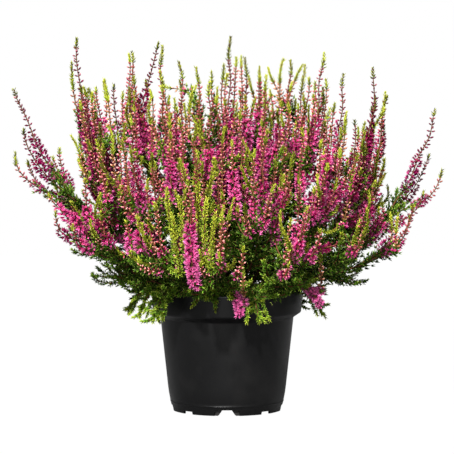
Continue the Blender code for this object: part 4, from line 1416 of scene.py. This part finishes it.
def floor_material(look):
    """A pale matte floor. It is seen as a lit white sweep with a faint shadow, and throws back less light
    than that, as a floor does under a small lamp."""
    made, tree, shader = principled("stage_floor")
    given = uneven(tree, patch_scale=FLOOR_PATCHES)
    colour = mixed(tree, ranged(tree, given["Patches"], *CLOUDS, 0.0, 1.0),
                   (*look.floor, 1.0), (*(FLOOR_FADE * c for c in look.floor), 1.0))
    set_inputs(tree, shader, {"Base Color": colour, "Roughness": 0.9})
    glow = new_node(tree, "ShaderNodeEmission", {"Color": WHITE, "Strength": SWEEP_GLOW})
    rays = new_node(tree, "ShaderNodeLightPath").outputs
    seen = maths(tree, "MULTIPLY", rays["Is Camera Ray"], look.sweep)
    mix = new_node(tree, "ShaderNodeMixShader", {0: seen, 1: shader.outputs[0], 2: glow.outputs[0]})
    set_inputs(tree, tree.nodes["Material Output"], {"Surface": mix.outputs[0]})
    return made


# The stage


def disc(name, radius, sides, material):
    """A round floor: one face whose corner k is at k shares of a turn."""
    angle = TURN * np.arange(sides) / sides
    corners = np.stack((radius * np.cos(angle), radius * np.sin(angle), np.zeros(sides)), -1)
    mesh = bpy.data.meshes.new(name)
    mesh.from_pydata(corners.tolist(), [], [list(range(sides))])
    mesh.materials.append(material)
    return new_object(name, mesh)


def stand(name, data, place, target, **settings):
    """Stands a light or camera with its settings at a place, turned to look at a point."""
    for key, value in settings.items():
        setattr(data, key, value)
    obj = new_object(name, data)
    obj.location = place
    from_to = Vector(target) - obj.location
    obj.rotation_euler = from_to.to_track_quat("-Z", "Y").to_euler()
    return obj


def studio_world(sky):
    """A world that is white to the camera, and lights the object faintly: most from the front, and from
    above."""
    world = bpy.data.worlds.new("studio")
    world.use_nodes = True
    tree = world.node_tree
    around = tree.nodes["Background"]
    _, y, z = new_node(tree, "ShaderNodeSeparateXYZ",
                       {0: new_node(tree, "ShaderNodeTexCoord").outputs["Generated"]}).outputs
    lit = maths(tree, "MAXIMUM", ranged(tree, y, -0.9, 0.4, 1.0, 0.10), ranged(tree, z, 0.3, 1.0, 0.0, 0.8))
    set_inputs(tree, around, {"Strength": maths(tree, "MULTIPLY", lit, sky), "Color": WHITE})
    seen = new_node(tree, "ShaderNodeBackground", {"Color": WHITE, "Strength": 1.0})
    path = new_node(tree, "ShaderNodeLightPath")
    mix = new_node(tree, "ShaderNodeMixShader",
                   {0: path.outputs["Is Camera Ray"], 1: around.outputs[0], 2: seen.outputs[0]})
    set_inputs(tree, tree.nodes["World Output"], {"Surface": mix.outputs[0]})
    return world


# Operators


class HEATHER_OT_pot(bpy.types.Operator):
    """Makes the container, with its rounded rim, notched foot and drains, in satin black plastic"""

    bl_idname = "heather.pot"
    bl_label = "Make the pot"

    def execute(self, context):
        piece = make_pot(plastic_material(context.scene.heather_pot))
        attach(piece, "root")
        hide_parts("pot")
        return {"FINISHED"}


class HEATHER_OT_peat(bpy.types.Operator):
    """Gives the root ball its crumbly peat"""

    bl_idname = "heather.peat"
    bl_label = "Dress the peat"

    def execute(self, context):
        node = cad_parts["peat"]
        node.data.materials.clear()
        node.data.materials.append(peat_material(context.scene.heather_pot))
        return {"FINISHED"}


class HEATHER_OT_heart_sprays(bpy.types.Operator):
    """Grows the upright sprays in the middle of the bush"""

    bl_idname = "heather.heart_sprays"
    bl_label = "Grow the heart sprays"

    def execute(self, context):
        return grow_group(context, "heart_spray")


class HEATHER_OT_inner_sprays(bpy.types.Operator):
    """Grows the ring of steep sprays round the heart"""

    bl_idname = "heather.inner_sprays"
    bl_label = "Grow the inner sprays"

    def execute(self, context):
        return grow_group(context, "inner_spray")


class HEATHER_OT_outer_sprays(bpy.types.Operator):
    """Grows the ring of tall sprays that lean outwards"""

    bl_idname = "heather.outer_sprays"
    bl_label = "Grow the outer sprays"

    def execute(self, context):
        return grow_group(context, "outer_spray")


class HEATHER_OT_low_sprays(bpy.types.Operator):
    """Grows the low sprays at the edge of the bush"""

    bl_idname = "heather.low_sprays"
    bl_label = "Grow the low sprays"

    def execute(self, context):
        return grow_group(context, "low_spray")


class HEATHER_OT_far_sprays(bpy.types.Operator):
    """Grows the two sprays that stand apart at the sides"""

    bl_idname = "heather.far_sprays"
    bl_label = "Grow the far sprays"

    def execute(self, context):
        return grow_group(context, "far_spray")


class HEATHER_OT_reaching_sprays(bpy.types.Operator):
    """Grows the two low sprays that reach out to the sides"""

    bl_idname = "heather.reaching_sprays"
    bl_label = "Grow the reaching sprays"

    def execute(self, context):
        return grow_group(context, "reaching_spray")


class HEATHER_OT_sprawling_shoots(bpy.types.Operator):
    """Grows the leafy shoots that sprawl level"""

    bl_idname = "heather.sprawling_shoots"
    bl_label = "Grow the sprawling shoots"

    def execute(self, context):
        return grow_group(context, "sprawling_shoot")


class HEATHER_OT_skirt_shoots(bpy.types.Operator):
    """Grows the leafy shoots that hang over the rim"""

    bl_idname = "heather.skirt_shoots"
    bl_label = "Grow the skirt shoots"

    def execute(self, context):
        return grow_group(context, "skirt_shoot")


class HEATHER_OT_drooping_sprays(bpy.types.Operator):
    """Grows the two flowering sprays that bend over the rim"""

    bl_idname = "heather.drooping_sprays"
    bl_label = "Grow the drooping sprays"

    def execute(self, context):
        return grow_group(context, "drooping_spray")


SUN_TARGET = (0, 0, 0.15)
PANEL_PLACE, PANEL_TARGET = (-0.15, -2.2, 0.52), (0, 0, 0.12)
PANEL_ENERGY, PANEL_WIDTH, PANEL_HEIGHT = 12.0, 0.5, 1.0
SENSOR_WIDTH, CLIP_END = 36.0, 100.0
# Each soft light of the stage: the setting with its strength, how many degrees wide it is, and its place
SUNS = {
    "key_light": ("key", 3, (-0.45, -1.5, 1.35)),
    "fill_light": ("fill", 40, (1.7, -1.2, 1.3)),
    "back_light": ("back", 30, (0.5, 1.6, 1.7)),
}


class HEATHER_OT_stage(bpy.types.Operator):
    """Sets the floor, the lights, the world and the camera"""

    bl_idname = "heather.stage"
    bl_label = "Set the stage"

    def execute(self, context):
        scene = context.scene
        look = scene.heather_stage
        disc("stage_floor", look.floor_radius, 96, floor_material(look))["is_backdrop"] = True
        for name, (strength, spread, place) in SUNS.items():
            stand(name, bpy.data.lights.new(name, "SUN"), place, SUN_TARGET,
                  energy=getattr(look, strength), angle=math.radians(spread))
        stand("front_panel", bpy.data.lights.new("front_panel", "AREA"), PANEL_PLACE, PANEL_TARGET,
              energy=PANEL_ENERGY, shape="RECTANGLE", size=PANEL_WIDTH, size_y=PANEL_HEIGHT)
        scene.world = studio_world(look.sky)
        scene.view_settings.view_transform = "Standard"
        scene.camera = stand("camera", bpy.data.cameras.new("camera"),
                             (0.0, -look.camera_distance, look.camera_height), (0.0, 0.0, look.aim_height),
                             lens=look.lens, sensor_width=SENSOR_WIDTH, clip_end=CLIP_END)
        return {"FINISHED"}


STEPS = (
    HEATHER_OT_pot, HEATHER_OT_peat, HEATHER_OT_heart_sprays, HEATHER_OT_inner_sprays,
    HEATHER_OT_outer_sprays, HEATHER_OT_low_sprays, HEATHER_OT_far_sprays, HEATHER_OT_reaching_sprays,
    HEATHER_OT_sprawling_shoots, HEATHER_OT_skirt_shoots, HEATHER_OT_drooping_sprays, HEATHER_OT_stage,
)


class HEATHER_PT_panel(bpy.types.Panel):
    """Lists the steps and the settings"""

    bl_idname = "HEATHER_PT_panel"
    bl_label = "Potted Heather"
    bl_space_type = "VIEW_3D"
    bl_region_type = "UI"
    bl_category = "Heather"

    def draw(self, context):
        for step in STEPS:
            self.layout.operator(step.bl_idname)
        for group in GROUPS:
            box = self.layout.box()
            for key in group.__annotations__:
                box.prop(getattr(context.scene, GROUPS[group]), key)


GROUPS = {
    HeatherSizes: "heather_sizes",
    HeatherColours: "heather_colours",
    PotLook: "heather_pot",
    StageLook: "heather_stage",
}


def register():
    """Registers the settings, the operators and the panel."""
    for group, label in GROUPS.items():
        bpy.utils.register_class(group)
        setattr(bpy.types.Scene, label, PointerProperty(type=group))
    for step in (*STEPS, HEATHER_PT_panel):
        bpy.utils.register_class(step)


def unregister():
    """Takes them all away again."""
    for step in (HEATHER_PT_panel, *reversed(STEPS)):
        bpy.utils.unregister_class(step)
    for group, label in GROUPS.items():
        delattr(bpy.types.Scene, label)
        bpy.utils.unregister_class(group)


def main():
    """Dresses the part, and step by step."""
    register()
    for step in STEPS:
        family, action = step.bl_idname.split(".")
        getattr(getattr(bpy.ops, family), action)()
    boxes = {"cad": CAD_BOX, "visual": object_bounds()}
    plain = {key: [list(map(float, corner)) for corner in box] for key, box in boxes.items()}


if __name__ == "__main__":
    main()
